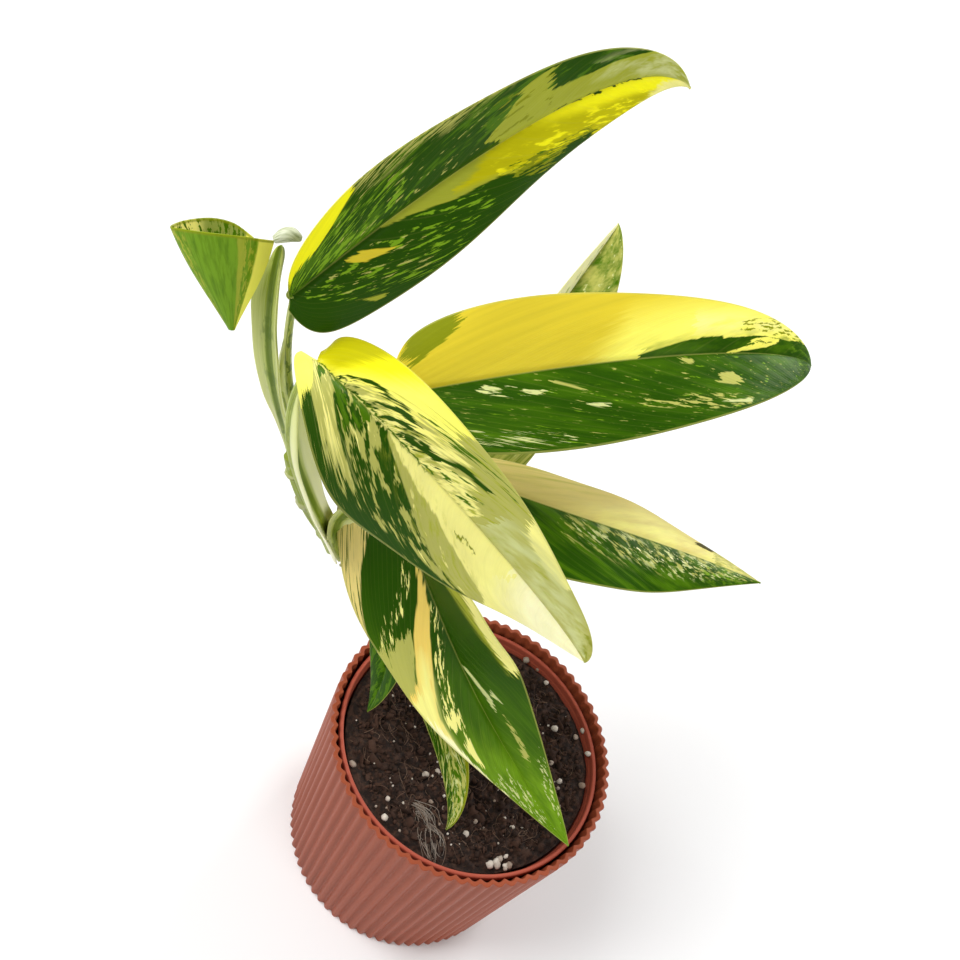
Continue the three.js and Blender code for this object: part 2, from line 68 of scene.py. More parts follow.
# The longest step along a pot's profile. The cover pot's many sides leave room for no finer one.
COVER_POT_STEP, GROW_POT_STEP = 3.2, 3

# Radius of the ring where a turned surface closes in a fan.
POLE_RADIUS = 0.5

# The lines between a blade's colours run at most this far to each side of the midrib, in half
# widths, and one that ends inside the blade leaves it within this share of the blade's length.
LINE_LIMIT = 1.5
LINE_LIFT = 0.006

# Standard deviation of the Noise Texture about its middle value.
NOISE_SPREAD = 0.115

# Each leaf as the solids have it. base, arch and tip are the midrib's four control points, face
# is the way the upper side looks and twist turns it from base to tip, in degrees. Pairs are for
# the left and the right half, seen from above with the tip away: half width, fold up from the
# midrib, curl down to the margin, the outline's shoulder and taper, and the swept base corner.
# start, bend and open are the petiole's foot, its inner control points and its channel's side.
# wing is the sheath's greatest width, and wing_run is its share at the foot and the places
# along the petiole where it is full and where it stops. sweep is how far a side vein runs
# towards the tip on its way to the margin, and the power of its curve.
LEAVES = {
    "top_long": {
        "base": (-121, -68, 332), "arch": ((-120, -55, 337), (-104, 53, 397)), "tip": (-82, 86, 372),
        "face": (0.86, -0.25, 0.45), "twist": 0, "half_width": (21.5, 25), "fold": (19, 13),
        "curl": (14, 20), "shoulder": (0.64, 0.52), "taper": (1.05, 1.21), "lobe": (1, 3),
        "wave": 0.05, "waves": 2.2, "phase": 0.1, "sweep": (0.42, 1.2),
        "start": (-112, -39, 236), "bend": ((-118, -47, 267), (-130, -41, 268)),
        "open": (-0.6, -0.6, 0.4), "wing": 3.8, "wing_run": (0.5, 0.6, 0.84),
    },
    "centre": {
        "base": (-106, -69, 318), "arch": ((-93, -71, 321), (-14, -25, 248)), "tip": (13, -22, 228),
        "face": (-0.63, -0.5, 0.59), "twist": 60, "half_width": (19, 27.5), "fold": (-1, 30),
        "curl": (41, 8), "shoulder": (0.31, 0.72), "taper": (0.57, 1.07), "lobe": (3, 6),
        "wave": 0.04, "waves": 2.6, "phase": 0.3, "sweep": (0.46, 1.5),
        "start": (-90, -25, 186), "bend": ((-96, -50, 236), (-115, -72, 279)),
        "open": (0.7, 0.3, 0.6), "wing": 7, "wing_run": (0.5, 0.68, 0.9),
    },
    "right_large": {
        "base": (-101, -24, 268), "arch": ((-74, 12, 284), (-6, 83, 318)), "tip": (10, 113, 292),
        "face": (0.19, -0.45, 0.87), "twist": 0, "half_width": (26, 31.5), "fold": (20, 20),
        "curl": (13, 12), "shoulder": (0.37, 0.53), "taper": (0.82, 0.91), "lobe": (-10, -2),
        "wave": 0.04, "waves": 2.3, "phase": 0.55, "sweep": (0.5, 1.0),
        "start": (-90, -18, 177), "bend": ((-96, -12, 187), (-95, -16, 236)),
        "open": (0.5, 0.7, 0.5), "wing": 3.5, "wing_run": (0.3, 0.55, 0.8),
    },
    "right_lower": {
        "base": (-88, -2, 232), "arch": ((-16, 21, 240), (-2, 36, 239)), "tip": (50, 74, 220),
        "face": (0.15, -0.1, 0.98), "twist": 2, "half_width": (18, 27), "fold": (4, 9),
        "curl": (32, 25), "shoulder": (0.66, 0.62), "taper": (1.02, 1.0), "lobe": (0, 0),
        "wave": 0.05, "waves": 2.4, "phase": 0.8, "sweep": (0.5, 1.0),
        "start": (-79, -9, 163), "bend": ((-84, -2, 185), (-94, -3, 212)),
        "open": (0.6, 0.6, 0.5), "wing": 3.6, "wing_run": (0.6, 0.55, 0.8),
    },
    "rear": {
        "base": (-65, 14, 192), "arch": ((-85, 54, 233), (-84, 97, 255)), "tip": (-90, 138, 272),
        "face": (0.25, -0.31, 0.92), "twist": -1, "half_width": (13.5, 25.5), "fold": (67, 16),
        "curl": (9, 17), "shoulder": (0.5, 0.53), "taper": (0.87, 0.75), "lobe": (0, 0),
        "wave": 0.05, "waves": 2, "phase": 0.2, "sweep": (0.5, 1.2),
        "start": (-62, 3, 140), "bend": ((-66, 12, 158), (-63, 10, 178)),
        "open": (0.2, 0.9, 0.4), "wing": 3.5, "wing_run": (0.6, 0.55, 0.8),
    },
    "lower": {
        "base": (-76, -19, 223), "arch": ((-31, -21, 185), (-20, -24, 168)), "tip": (57, -22, 126),
        "face": (-0.05, -0.82, 0.56), "twist": -60, "half_width": (32, 30), "fold": (28, 26),
        "curl": (5, 5), "shoulder": (0.29, 0.27), "taper": (0.85, 0.92), "lobe": (-6, 16),
        "wave": 0.04, "waves": 2.5, "phase": 0.4, "sweep": (0.6, 0.9),
        "start": (-87, -20, 181), "bend": ((-92, -34, 205), (-96, -38, 226)),
        "open": (0.7, -0.3, 0.6), "wing": 3.6, "wing_run": (0.3, 0.55, 0.8),
    },
    "low_left": {
        "base": (-63, -6, 158), "arch": ((-59, -11, 157), (-44, -20, 139)), "tip": (-43, -29, 116),
        "face": (-0.46, -0.47, 0.75), "twist": 1, "half_width": (11, 11), "fold": (15, 12),
        "curl": (19, 22), "shoulder": (0.48, 0.48), "taper": (0.85, 0.85), "lobe": (0, 0),
        "wave": 0.03, "waves": 1.5, "phase": 0, "sweep": (0.5, 1.2),
        "start": (-47, 10, 119), "bend": ((-50, 2, 132), (-62, -4, 146)),
        "open": (-0.2, -0.9, 0.4), "wing": 1.6, "wing_run": (0.6, 0.5, 0.8),
    },
    "low_right": {
        "base": (-43, -11, 138), "arch": ((-27, -17, 143), (13, -32, 127)), "tip": (14, -44, 110),
        "face": (0.22, -0.49, 0.84), "twist": 0, "half_width": (8, 6), "fold": (14, 15),
        "curl": (20, 20), "shoulder": (0.47, 0.47), "taper": (0.82, 0.82), "lobe": (0, 0),
        "wave": 0.03, "waves": 1.5, "phase": 0.5, "sweep": (0.5, 1.2),
        "start": (-40, 14, 107), "bend": ((-38, 2, 116), (-47, -6, 130)),
        "open": (0.3, -0.8, 0.5), "wing": 1.4, "wing_run": (0.6, 0.5, 0.8),
    },
}

# The youngest blade, still rolled. rim runs round its open upper end, from the petiole along the
# front to the far corner and back along the rear, and tip is the point below.
ROLLED = {
    "rim": (
        (-139.6, -54, 330.9), (-142, -58.7, 332.4), (-145.8, -62.9, 332.7), (-153.8, -68.4, 330.7),
        (-160, -70.8, 328.1), (-164.4, -70.8, 325.5), (-164.4, -64.6, 324.5), (-159.5, -58, 326),
        (-153.4, -55.7, 327.7), (-144.9, -57, 329.7),
    ),
    "tip": (-138.7, -64.3, 298.7), "tip_radius": 0.8, "bulge": 0.1,
    "start": (-113, -42, 238), "bend": ((-114, -53, 266), (-131, -59, 286)),
    "end": (-138, -51.5, 329), "open": (-0.3, -0.8, 0.3), "wing": 4.5,
    "wing_run": (0.1, 0.8, 1.02),
}
SHOOT = {"foot": (-139.6, -54.2, 331.6), "tip": (-134.2, -48.6, 333.4), "arch": 2, "radius": 2.4}

STEM = {
    "path": (
        (-20, 12, 60), (-29, 15, 84), (-38, 15, 105), (-56, 5, 132),
        (-74, -7, 157), (-89, -20, 183), (-101, -33, 208), (-109, -41, 230), (-113, -43, 240),
    ),
    "radius": (4.2, 3.1), "node_swell": 0.9, "node_spread": 2.2,
    "nodes": (0.22, 0.34, 0.46, 0.57, 0.68, 0.79, 0.9),
}
# Each root stub's place along the stem, its way and its length.
AERIAL_ROOTS = (
    (0.34, (0.3, -0.9, -0.3), 9),
    (0.57, (-0.7, -0.5, -0.5), 6),
    (0.79, (-0.9, -0.3, -0.4), 5),
)

# The share of the palest colour on a petiole's wings, where it isn't the usual one.
SHEATH_SHARE, USUAL_SHEATH_SHARE = {"centre": 1.0, "top_long": 0.1}, 0.5

# Perlite grains that stand out, as places on the soil, and the foot and tip of the root tuft.
PERLITE_SEEN = (
    (-5, 57), (2, 56), (9, 52), (36, 46), (35, 40), (25, 36), (44, 37), (33, 21), (41, 17),
    (42, 13), (50, 21), (-7, -24), (-4, -20), (8, -31), (2, -33), (22, -26), (31, -17),
    (36, -17), (22, -35), (-13, -45), (-9, -52), (-34, -43),
)
PERLITE_CLUMP = (42, -33)
ROOT_TUFT = ((-2, -39), (8, -41), (17, -52))

# The camera as the photograph has it: its place, the way it looks and the way its top points.
CAMERA = {
    "place": (0, -314.6, 600.7),
    "look": (-0.12185, 0.65686, -0.7441),
    "top": (-0.62406, 0.53227, 0.57205),
}

# Half the floor's width, and the lights: each one's place and size in metres, and its setting.
FLOOR_REACH = 4000
LIGHT_TARGET = (-0.03, 0.02, 0.2)
LIGHTS = (
    ("window_light", (-0.9, -0.5, 1.5), 1.0, "key"),
    ("fill_light", (1.2, -0.7, 0.9), 1.2, "fill"),
    ("back_light", (0.3, 1.3, 1.0), 0.9, "back"),
)


def linear(code):
    """A colour written as a web code, in Blender's linear values."""
    channels = [int(code[i:i + 2], 16) / 255 for i in (1, 3, 5)]
    return tuple(c / 12.92 if c <= 0.04045 else ((c + 0.055) / 1.055) ** 2.4 for c in channels)


def colour(name, description, code):
    """A colour setting whose default is written as a web code."""
    return FloatVectorProperty(
        name=name, description=description, subtype="COLOR", size=3, min=0, max=1, default=linear(code),
    )


def length(name, description, default):
    """A length setting in millimetres."""
    return FloatProperty(name=name, description=description + ", in millimetres", default=default, min=0)


def whole_number(name, description, default, least=0):
    """A setting that counts pieces or steps."""
    return IntProperty(name=name, description=description, default=default, min=least)


def fraction(name, description, default):
    """A setting between 0 and 1."""
    return FloatProperty(
        name=name, description=description, default=default, min=0, max=1, subtype="FACTOR",
    )


def watts(name, description, default):
    """A light's power setting."""
    return FloatProperty(
        name=name, description=description + ", in watts", default=default, min=0, unit="POWER",
    )


class MONSTERA_PG_pots(PropertyGroup):
    """The two pots."""

    height: length("Height", "Height of the cover pot", 106.5)
    rim_radius: length("Rim radius", "Radius over the ribs at the cover pot's rim", 65.4)
    base_radius: length("Base radius", "Radius over the ribs at the cover pot's base", 57.3)
    wall: length("Wall", "Thickness of the cover pot's wall", 2.2)
    floor: length("Floor", "Thickness of the cover pot's floor", 3)
    ribs: whole_number("Ribs", "Number of ribs round the cover pot", 72, 8)
    rib_depth: length("Rib depth", "Depth of the grooves between the ribs", 1.5)
    inner_rim_radius: length("Inner rim radius", "Radius of the grow pot's rim", 60.4)
    inner_rim_top: length("Inner rim top", "Height of the grow pot's rim", 103.4)
    inner_body_radius: length("Inner body radius", "Radius of the grow pot under its rim", 58.9)
    inner_base_radius: length("Inner base radius", "Radius of the grow pot's base", 43)
    inner_wall: length("Inner wall", "Thickness of the grow pot's wall", 1.2)
    cover_colour: colour("Cover pot", "Colour of the cover pot's plastic", "#964A30")
    inner_colour: colour("Grow pot", "Colour of the grow pot's plastic", "#AC5340")


class MONSTERA_PG_soil(PropertyGroup):
    """The potting mix."""

    level: length("Level", "Mean height of the soil's surface", 99.6)
    climb: length("Climb", "Rise of the level from the middle to the high side", 1.7)
    lump: length("Lumps", "Height of the soil's lumps", 1.3)
    crumbs: whole_number("Crumbs", "Number of loose crumbs", 2600)
    bark: whole_number("Bark", "Number of bark chips", 240)
    perlite: whole_number("Perlite", "Number of small perlite grains", 110)
    fibres: whole_number("Fibres", "Number of coco fibres", 520)
    dark: colour("Dark soil", "Colour of the damp peat", "#1C110B")
    light: colour("Light soil", "Colour of the drier crumbs", "#4A3226")
    grain: colour("Perlite", "Colour of the perlite grains", "#D8CFC2")
    fibre: colour("Fibre", "Colour of the coco fibres", "#7A6352")
    root: colour("Root", "Colour of the dry root tuft", "#9B9388")


class MONSTERA_PG_blades(PropertyGroup):
    """The blades' body and finish."""

    thickness: length("Thickness", "Thickness of a blade beside its midrib", 0.75)
    margin: length("Margin", "Thickness of a blade at its margin", 0.4)
    veins: whole_number("Side veins", "Number of side veins on each half of a blade", 17, 1)
    relief: length("Relief", "Height of the pleats between the side veins", 0.1)
    groove: length("Groove", "Depth of the midrib's groove", 0.7)
    roughness: fraction("Roughness", "Roughness of the glossy skin", 0.34)
    glow: fraction("Glow", "Share of the light that passes through a blade", 0.25)
    deep: colour("Deep green", "The darkest green", "#264C02")
    green: colour("Green", "The plain green", "#476F06")
    # Fresh green also paints the highlight towards the tip of the lower blade.
    fresh: colour("Fresh green", "The brighter green of young tissue", "#7BA41E")
    olive: colour("Olive", "Green under yellow", "#868E12")
    moss: colour("Moss", "Yellow-green", "#A6AC34")
    sage: colour("Sage", "Pale grey-green", "#B4B45C")
    pale: colour("Pale green", "Whitish green", "#CBD08C")
    cream: colour("Cream", "Pale cream-yellow", "#F6F090")
    ivory: colour("Ivory", "The palest cream", "#FFFBC6")
    yellow: colour("Yellow", "Bright yellow", "#FBF41C")
    lemon: colour("Lemon", "Pale lemon yellow", "#FBF56C")
    gold: colour("Gold", "Golden yellow", "#DAC634")
    mustard: colour("Mustard", "Dark yellow", "#C4BE0C")
    sand: colour("Sand", "Sandy yellow", "#EED26A")
    tan: colour("Tan", "Tan cream", "#E0CE80")
    bark: colour("Brown green", "Dark brown-green", "#4A4408")


class MONSTERA_PG_stalks(PropertyGroup):
    """The stem, the petioles and the shoot."""

    foot_radius: length("Foot radius", "Radius of a petiole at the stem", 2.7)
    top_radius: length("Top radius", "Radius of a petiole below the blade", 1.7)
    sides: whole_number("Sides", "Number of sides round the stem", 48, 8)
    steps: whole_number("Steps", "Number of steps along the stem", 420, 20)
    stem_colour: colour("Stem", "Colour of the stem", "#86923A")
    node_colour: colour("Node", "Colour of the stem's nodes", "#B9B98A")
    root_colour: colour("Aerial root", "Colour of the root stubs", "#8A6A45")
    petiole_colour: colour("Petiole", "Colour of a petiole's back", "#8EA01C")
    stripe_colour: colour("Stripe", "Dark stripe along a petiole", "#56700C")
    wing_colour: colour("Wing", "Colour of a petiole's pale wings", "#DADF92")
    sheath_colour: colour("Sheath", "Palest part of a petiole's wings", "#F0EFC6")
    shoot_colour: colour("Shoot", "Colour of the shoot's papery sheath", "#DCE0C6")
    shoot_line: colour("Shoot lines", "Colour of the lines along the shoot", "#A7AF86")


class MONSTERA_PG_stage(PropertyGroup):
    """The floor, the lights and the camera."""

    floor_colour: colour("Floor", "Colour of the floor", "#F4F4F4")
    sensor_width: length("Sensor width", "Width of the camera's sensor", 36)
    focal_length: length("Focal length", "Focal length of the camera", 48.75)
    key: watts("Key light", "Power of the large soft window light", 28)
    fill: watts("Fill light", "Power of the fill light", 9)
    back: watts("Back light", "Power of the light behind the plant", 14)
    sky: fraction("Sky", "Strength of the even light from all round", 0.3)


class Signal:
    """A number or a vector that runs between shader nodes. Its operators add Math nodes."""

    def __init__(self, shader, socket):
        self.shader = shader
        self.socket = socket

    def math(self, operation, *others):
        values = dict(enumerate((self, *others)))
        return self.shader.node("ShaderNodeMath", values, operation=operation)

    def __add__(self, other):
        return self.math("ADD", other)

    def __mul__(self, other):
        return self.math("MULTIPLY", other)

    def __sub__(self, other):
        return self.math("SUBTRACT", other)

    def __truediv__(self, other):
        return self.math("DIVIDE", other)

    def __pow__(self, other):
        return self.math("POWER", other)

    def reflected(self, operation, other):
        """The operation with the other value first, for a number on the operator's left."""
        return self.shader.node("ShaderNodeMath", {0: other, 1: self}, operation=operation)

    def __rsub__(self, other):
        return self.reflected("SUBTRACT", other)

    def __rtruediv__(self, other):
        return self.reflected("DIVIDE", other)

    def __rpow__(self, other):
        return self.reflected("POWER", other)

    def __abs__(self):
        return self.math("ABSOLUTE")

    __radd__ = __add__
    __rmul__ = __mul__

    def least(self, other):
        return self.math("MINIMUM", other)

    def most(self, other):
        return self.math("MAXIMUM", other)

    def sine(self):
        return self.math("SINE")

    def sign(self):
        return self.math("SIGN")

    def step(self, start, stop):
        """0 below start, 1 above stop and a smooth rise between them."""
        ranges = {"From Min": start, "From Max": stop, "To Min": 0.0, "To Max": 1.0, "Value": self}
        return self.shader.node("ShaderNodeMapRange", ranges, interpolation_type="SMOOTHSTEP")

    def split(self):
        parts = self.shader.node("ShaderNodeSeparateXYZ", {0: self}).socket.node
        return [Signal(self.shader, output) for output in parts.outputs]


class Shader:
    """A material whose nodes are added by node(), with a Principled surface."""

    def __init__(self, name, **constants):
        self.material = bpy.data.materials.new(name)
        self.material.use_nodes = True
        self.tree = self.material.node_tree
        self.surface = self.tree.nodes["Principled BSDF"]
        for socket, value in constants.items():
            self.surface.inputs[socket.replace("_", " ")].default_value = value

    def node(self, kind, values, output=0, stops=None, **settings):
        """Adds a node: its settings, then a ramp's stops, then its sockets' values or links."""
        node = self.tree.nodes.new(kind)
        for setting, value in settings.items():
            setattr(node, setting, value)
        if stops:
            self.fill_ramp(node.color_ramp, stops)
        for key, value in values.items():
            if isinstance(value, Signal):
                self.tree.links.new(value.socket, node.inputs[key])
            else:
                node.inputs[key].default_value = value
        return Signal(self, node.outputs[output])

    @staticmethod
    def fill_ramp(ramp, stops):
        while len(ramp.elements) < len(stops):
            ramp.elements.new(0.5)
        for element, (place, value) in zip(ramp.elements, stops):
            element.position = place
            element.color = (value, value, value, 1)

    def line(self, x, points):
        """A line through (place, height) points, as a ramp whose greys stand for heights from
        -LINE_LIMIT to LINE_LIMIT."""
        span = 2 * LINE_LIMIT
        stops = [(place, (height + LINE_LIMIT) / span) for place, height in points]
        return self.node("ShaderNodeValToRGB", {0: x}, stops=stops) * span - LINE_LIMIT

    def vector(self, x, y, z):
        return self.node("ShaderNodeCombineXYZ", {0: x, 1: y, 2: z})

    def noise(self, place, scale, detail=2.0, roughness=0.55):
        values = {"Vector": place, "Scale": scale, "Detail": detail, "Roughness": roughness}
        return self.node("ShaderNodeTexNoise", values)

    def blend(self, factor, first, second):
        """first where factor is 0 and second where it is 1, for colours."""
        values = {0: factor, 6: self.paint(first), 7: self.paint(second)}
        return self.node("ShaderNodeMix", values, output=2, data_type="RGBA")

    @staticmethod
    def paint(value):
        return value if isinstance(value, Signal) else (*value[:3], 1)

    def scaled(self, vector, factor):
        """A vector or a colour times a number."""
        return self.node("ShaderNodeVectorMath", {0: vector, "Scale": factor}, operation="SCALE")

    def place(self):
        """The piece's own values from mesh_object(), as three signals."""
        return self.node("ShaderNodeAttribute", {}, output=1, attribute_name="place").split()

    def millimetres(self):
        """Object coordinates in millimetres."""
        return self.scaled(self.node("ShaderNodeTexCoord", {}, output=3), 1 / MM)

    def feed(self, socket, value):
        self.tree.links.new(value.socket, self.surface.inputs[socket])

    def bump(self, height, distance, strength=1.0):
        """Turns a height in units of distance, in metres, into the surface's normal."""
        values = {"Height": height, "Distance": distance, "Strength": strength}
        self.feed("Normal", self.node("ShaderNodeBump", values))


def unit(vectors):
    """Vectors over their lengths."""
    return vectors / np.linalg.norm(vectors, axis=-1, keepdims=True)


def smoothstep(start, stop, x):
    """0 below start, 1 above stop, and three squares less two cubes of the share between."""
    share = np.clip((x - start) / (stop - start), 0, 1)
    return share * share * (3 - 2 * share)


def bezier(start, bend, stop, u):
    """Point and tangent of a cubic curve: its four control points weighted by the cubic
    Bernstein polynomials of u, and by their slopes."""
    a, b, c, d = (np.array(p, float) for p in (start, bend[0], bend[1], stop))
    u = np.asarray(u, float)[..., None]
    v = 1 - u
    point = v ** 3 * a + 3 * u * v ** 2 * b + 3 * u ** 2 * v * c + u ** 3 * d
    slope = v ** 2 * (b - a) + 2 * u * v * (c - b) + u ** 2 * (d - c)
    return point, unit(slope)


def stretch(points, gaps, t):
    """Point and slope between the middle two of four points, on a centripetal Catmull-Rom curve:
    its knots lie apart by the gaps, the square roots of the distances between the points, and
    the stretch is a cubic Hermite curve with the slopes that the knots give at its two ends."""
    p0, p1, p2, p3 = points
    g0, g1, g2 = gaps
    out = g1 * ((p1 - p0) / g0 - (p2 - p0) / (g0 + g1) + (p2 - p1) / g1)
    into = g1 * ((p2 - p1) / g1 - (p3 - p1) / (g1 + g2) + (p3 - p2) / g2)
    a = 2 * p1 - 2 * p2 + out + into
    b = -3 * p1 + 3 * p2 - 2 * out - into
    return a * t ** 3 + b * t ** 2 + out * t + p1, 3 * a * t ** 2 + 2 * b * t + out


def spline(points, u):
    """Point and tangent of a smooth path through points, at shares u of its way: centripetal
    Catmull-Rom stretches, with both ends carried on straight."""
    points = np.array(points, float)
    ends = np.vstack([2 * points[0] - points[1], points, 2 * points[-1] - points[-2]])
    gaps = np.sqrt(np.linalg.norm(np.diff(ends, axis=0), axis=1))
    place = np.asarray(u, float) * (len(points) - 1)
    part = np.minimum(place.astype(int), len(points) - 2)
    near = [ends[part + k] for k in range(4)]
    point, slope = stretch(near, [gaps[part + k][..., None] for k in range(3)], (place - part)[..., None])
    return point, unit(slope)


def ride_frame(tangent, up):
    """The direction across the path that is nearest to up, and the side: tangent times it."""
    up = np.broadcast_to(np.asarray(up, float), tangent.shape)
    normal = unit(up - np.sum(up * tangent, axis=-1, keepdims=True) * tangent)
    return normal, np.cross(tangent, normal)


class Shell:
    """Points, faces and per-point values that become one closed skin of a mesh."""

    def __init__(self, points, faces, place):
        self.points = np.asarray(points, float).reshape(-1, 3)
        self.faces = [np.asarray(group, int) for group in faces]
        self.place = np.asarray(place, float).reshape(-1, 3)


def mesh_object(name, shells):
    """A smooth-shaded mesh object from shells in millimetres, with their values as "place"."""
    points = np.vstack([shell.points for shell in shells]) * MM
    starts = np.cumsum([0] + [len(shell.points) for shell in shells])
    groups = [group + start for shell, start in zip(shells, starts) for group in shell.faces]
    corners = np.concatenate([group.ravel() for group in groups])
    sizes = np.concatenate([np.full(len(group), group.shape[1]) for group in groups])
    mesh = bpy.data.meshes.new(name)
    mesh.vertices.add(len(points))
    mesh.vertices.foreach_set("co", points.ravel())
    mesh.loops.add(len(corners))
    mesh.loops.foreach_set("vertex_index", corners.astype(np.int32))
    mesh.polygons.add(len(sizes))
    mesh.polygons.foreach_set("loop_start", (np.cumsum(sizes) - sizes).astype(np.int32))
    place = mesh.attributes.new("place", "FLOAT_VECTOR", "POINT")
    place.data.foreach_set("vector", np.vstack([shell.place for shell in shells]).ravel())
    mesh.update(calc_edges=True)
    mesh.shade_smooth()
    piece = bpy.data.objects.new(name, mesh)
    bpy.context.scene.collection.objects.link(piece)
    return piece


def dress(piece, shader, slot, *nodes):
    """Gives a piece its material and its body, and hides the nodes it stands for. Its slot is not used."""
    piece.data.materials.append(shader.material)
    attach(piece, BODY)
    if nodes:
        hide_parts(*nodes)


def ring_faces(rings, sides, start=0):
    """Quads between closed rings of points that follow one another."""
    ring, side = np.meshgrid(np.arange(rings - 1), np.arange(sides), indexing="ij")
    here = start + ring * sides + side
    beside = start + ring * sides + (side + 1) % sides
    return np.stack([here, beside, beside + sides, here + sides], axis=-1).reshape(-1, 4)


def tube_shell(rings, place):
    """A closed skin through rings of points, with a fan to the middle of both end rings."""
    count, sides = rings.shape[:2]
    ends = np.stack([rings[0].mean(axis=0), rings[-1].mean(axis=0)])
    points = np.vstack([rings.reshape(-1, 3), ends])
    values = np.vstack([place.reshape(-1, 3), place[0].mean(axis=0), place[-1].mean(axis=0)])
    side = np.arange(sides)
    after = (side + 1) % sides
    first = count * sides
    last = (count - 1) * sides
    foot = np.stack([np.full(sides, first), after, side], axis=-1)
    head = np.stack([np.full(sides, first + 1), last + side, last + after], axis=-1)
    return Shell(points, [ring_faces(count, sides), np.vstack([foot, head])], values)


def tube(path, radius, sides, steps, up=(0.2, -1, 0.3)):
    """A round tube along a smooth path. radius is a function of the place along it, and of the
    angle round it."""
    u = np.linspace(0, 1, steps + 1)
    centre, tangent = spline(path, u)
    normal, side = ride_frame(tangent, up)
    angle = 2 * np.pi * np.arange(sides) / sides
    r = np.broadcast_to(radius(u[:, None], angle[None, :]), (steps + 1, sides))[..., None]
    turn = angle[None, :, None]
    rings = centre[:, None] - side[:, None] * r * np.cos(turn) + normal[:, None] * r * np.sin(turn)
    place = np.stack(np.broadcast_arrays(u[:, None], angle[None, :] / (2 * np.pi), 0 * r[..., 0]), -1)
    return tube_shell(rings, place)


def sheet_shell(middle, thickness, place, keel=0):
    """A closed thin body round a grid of middle points. Each point is moved half the thickness
    up and down along the grid's normal, the underside is lowered by keel as well, and the
    margin is rounded by a ring half a thickness outwards. The third value of place is 1 on the
    upper side and -1 on the underside."""
    rows, columns = middle.shape[:2]
    along = np.gradient(middle, axis=0)
    across = np.gradient(middle, axis=1)
    normal = unit(np.cross(across, along))
    half = np.broadcast_to(thickness, (rows, columns))[..., None] / 2
    keel = np.broadcast_to(keel, (rows, columns))[..., None]
    top = middle + normal * half
    under = middle - normal * (half + keel)
    i, j = np.meshgrid(np.arange(rows - 1), np.arange(columns - 1), indexing="ij")
    corner = i * columns + j
    upper = np.stack([corner, corner + 1, corner + columns + 1, corner + columns], -1).reshape(-1, 4)
    lower = rows * columns + upper[:, ::-1]
    last_row, last_column = rows - 1, columns - 1
    row = np.concatenate([
        np.zeros(last_column, int), np.arange(last_row),
        np.full(last_column, last_row), np.arange(last_row, 0, -1),
    ])
    column = np.concatenate([
        np.arange(last_column), np.full(last_row, last_column),
        np.arange(last_column, 0, -1), np.zeros(last_row, int),
    ])
    inner = middle[np.clip(row, 1, rows - 2), np.clip(column, 1, columns - 2)]
    rim = middle[row, column] + unit(middle[row, column] - inner) * half[row, column]
    above = row * columns + column
    below = rows * columns + above
    level = 2 * rows * columns + np.arange(len(row))
    turn = np.roll(np.arange(len(row)), -1)
    edge = np.vstack([
        np.stack([above, level, level[turn], above[turn]], -1),
        np.stack([level, below, below[turn], level[turn]], -1),
    ])
    flat = [np.dstack([place, np.full((rows, columns), side)]).reshape(-1, 3) for side in (1.0, -1.0)]
    border = np.column_stack([place[row, column], np.zeros(len(row))])
    points = np.vstack([top.reshape(-1, 3), under.reshape(-1, 3), rim])
    return Shell(points, [np.vstack([upper, lower, edge])], np.vstack([*flat, border]))


def half_of(pair, v):
    """The left or the right value of a pair, by the sign of v."""
    return np.where(v >= 0, pair[1], pair[0])


def blade_surface(leaf, u, v, narrowest):
    """A blade's middle surface and its half width. u runs along the midrib, a cubic curve, and v
    from -1 at the left margin to 1 at the right one. The half width is the outline, u to the
    shoulder times 1 - u to the taper, scaled to peak at 1. Each half leaves the midrib at the
    fold's angle and bends down by the curl's angle to the margin, as an arc of a circle. The
    margin waves as a sine, and the base corner is swept back by the lobe."""
    middle, tangent = bezier(leaf["base"], leaf["arch"], leaf["tip"], u)
    normal, side = ride_frame(tangent, leaf["face"])
    turn = (np.radians(leaf["twist"]) * (u - 0.5))[..., None]
    normal = normal * np.cos(turn) + side * np.sin(turn)
    side = np.cross(tangent, normal)
    a = np.abs(v)
    shoulder, taper = half_of(leaf["shoulder"], v), half_of(leaf["taper"], v)
    peak = shoulder / (shoulder + taper)
    outline = (u / peak) ** shoulder * ((1 - u) / (1 - peak)) ** taper
    width = np.maximum(half_of(leaf["half_width"], v) * outline, narrowest)
    fold, curl = np.radians(half_of(leaf["fold"], v)), np.radians(half_of(leaf["curl"], v))
    out = (np.sin(fold) - np.sin(fold - curl * a)) / curl
    lift = (np.cos(fold - curl * a) - np.cos(fold)) / curl
    wave = np.sin(2 * np.pi * (leaf["waves"] * u + leaf["phase"] + half_of((0, 0.25), v)))
    lift = lift + leaf["wave"] * wave * a ** 2
    sweep = half_of(leaf["lobe"], v) * a * (1 - u) ** 4
    points = middle + side * (np.sign(v) * width * out)[..., None] + normal * (width * lift)[..., None]
    return points - tangent * sweep[..., None], normal, width


def vein_place(leaf, u, a):
    """Which side vein passes a point: the place on the midrib where that vein starts."""
    reach, power = leaf["sweep"]
    run = reach * a ** power
    return (u - run) / (1 - run)


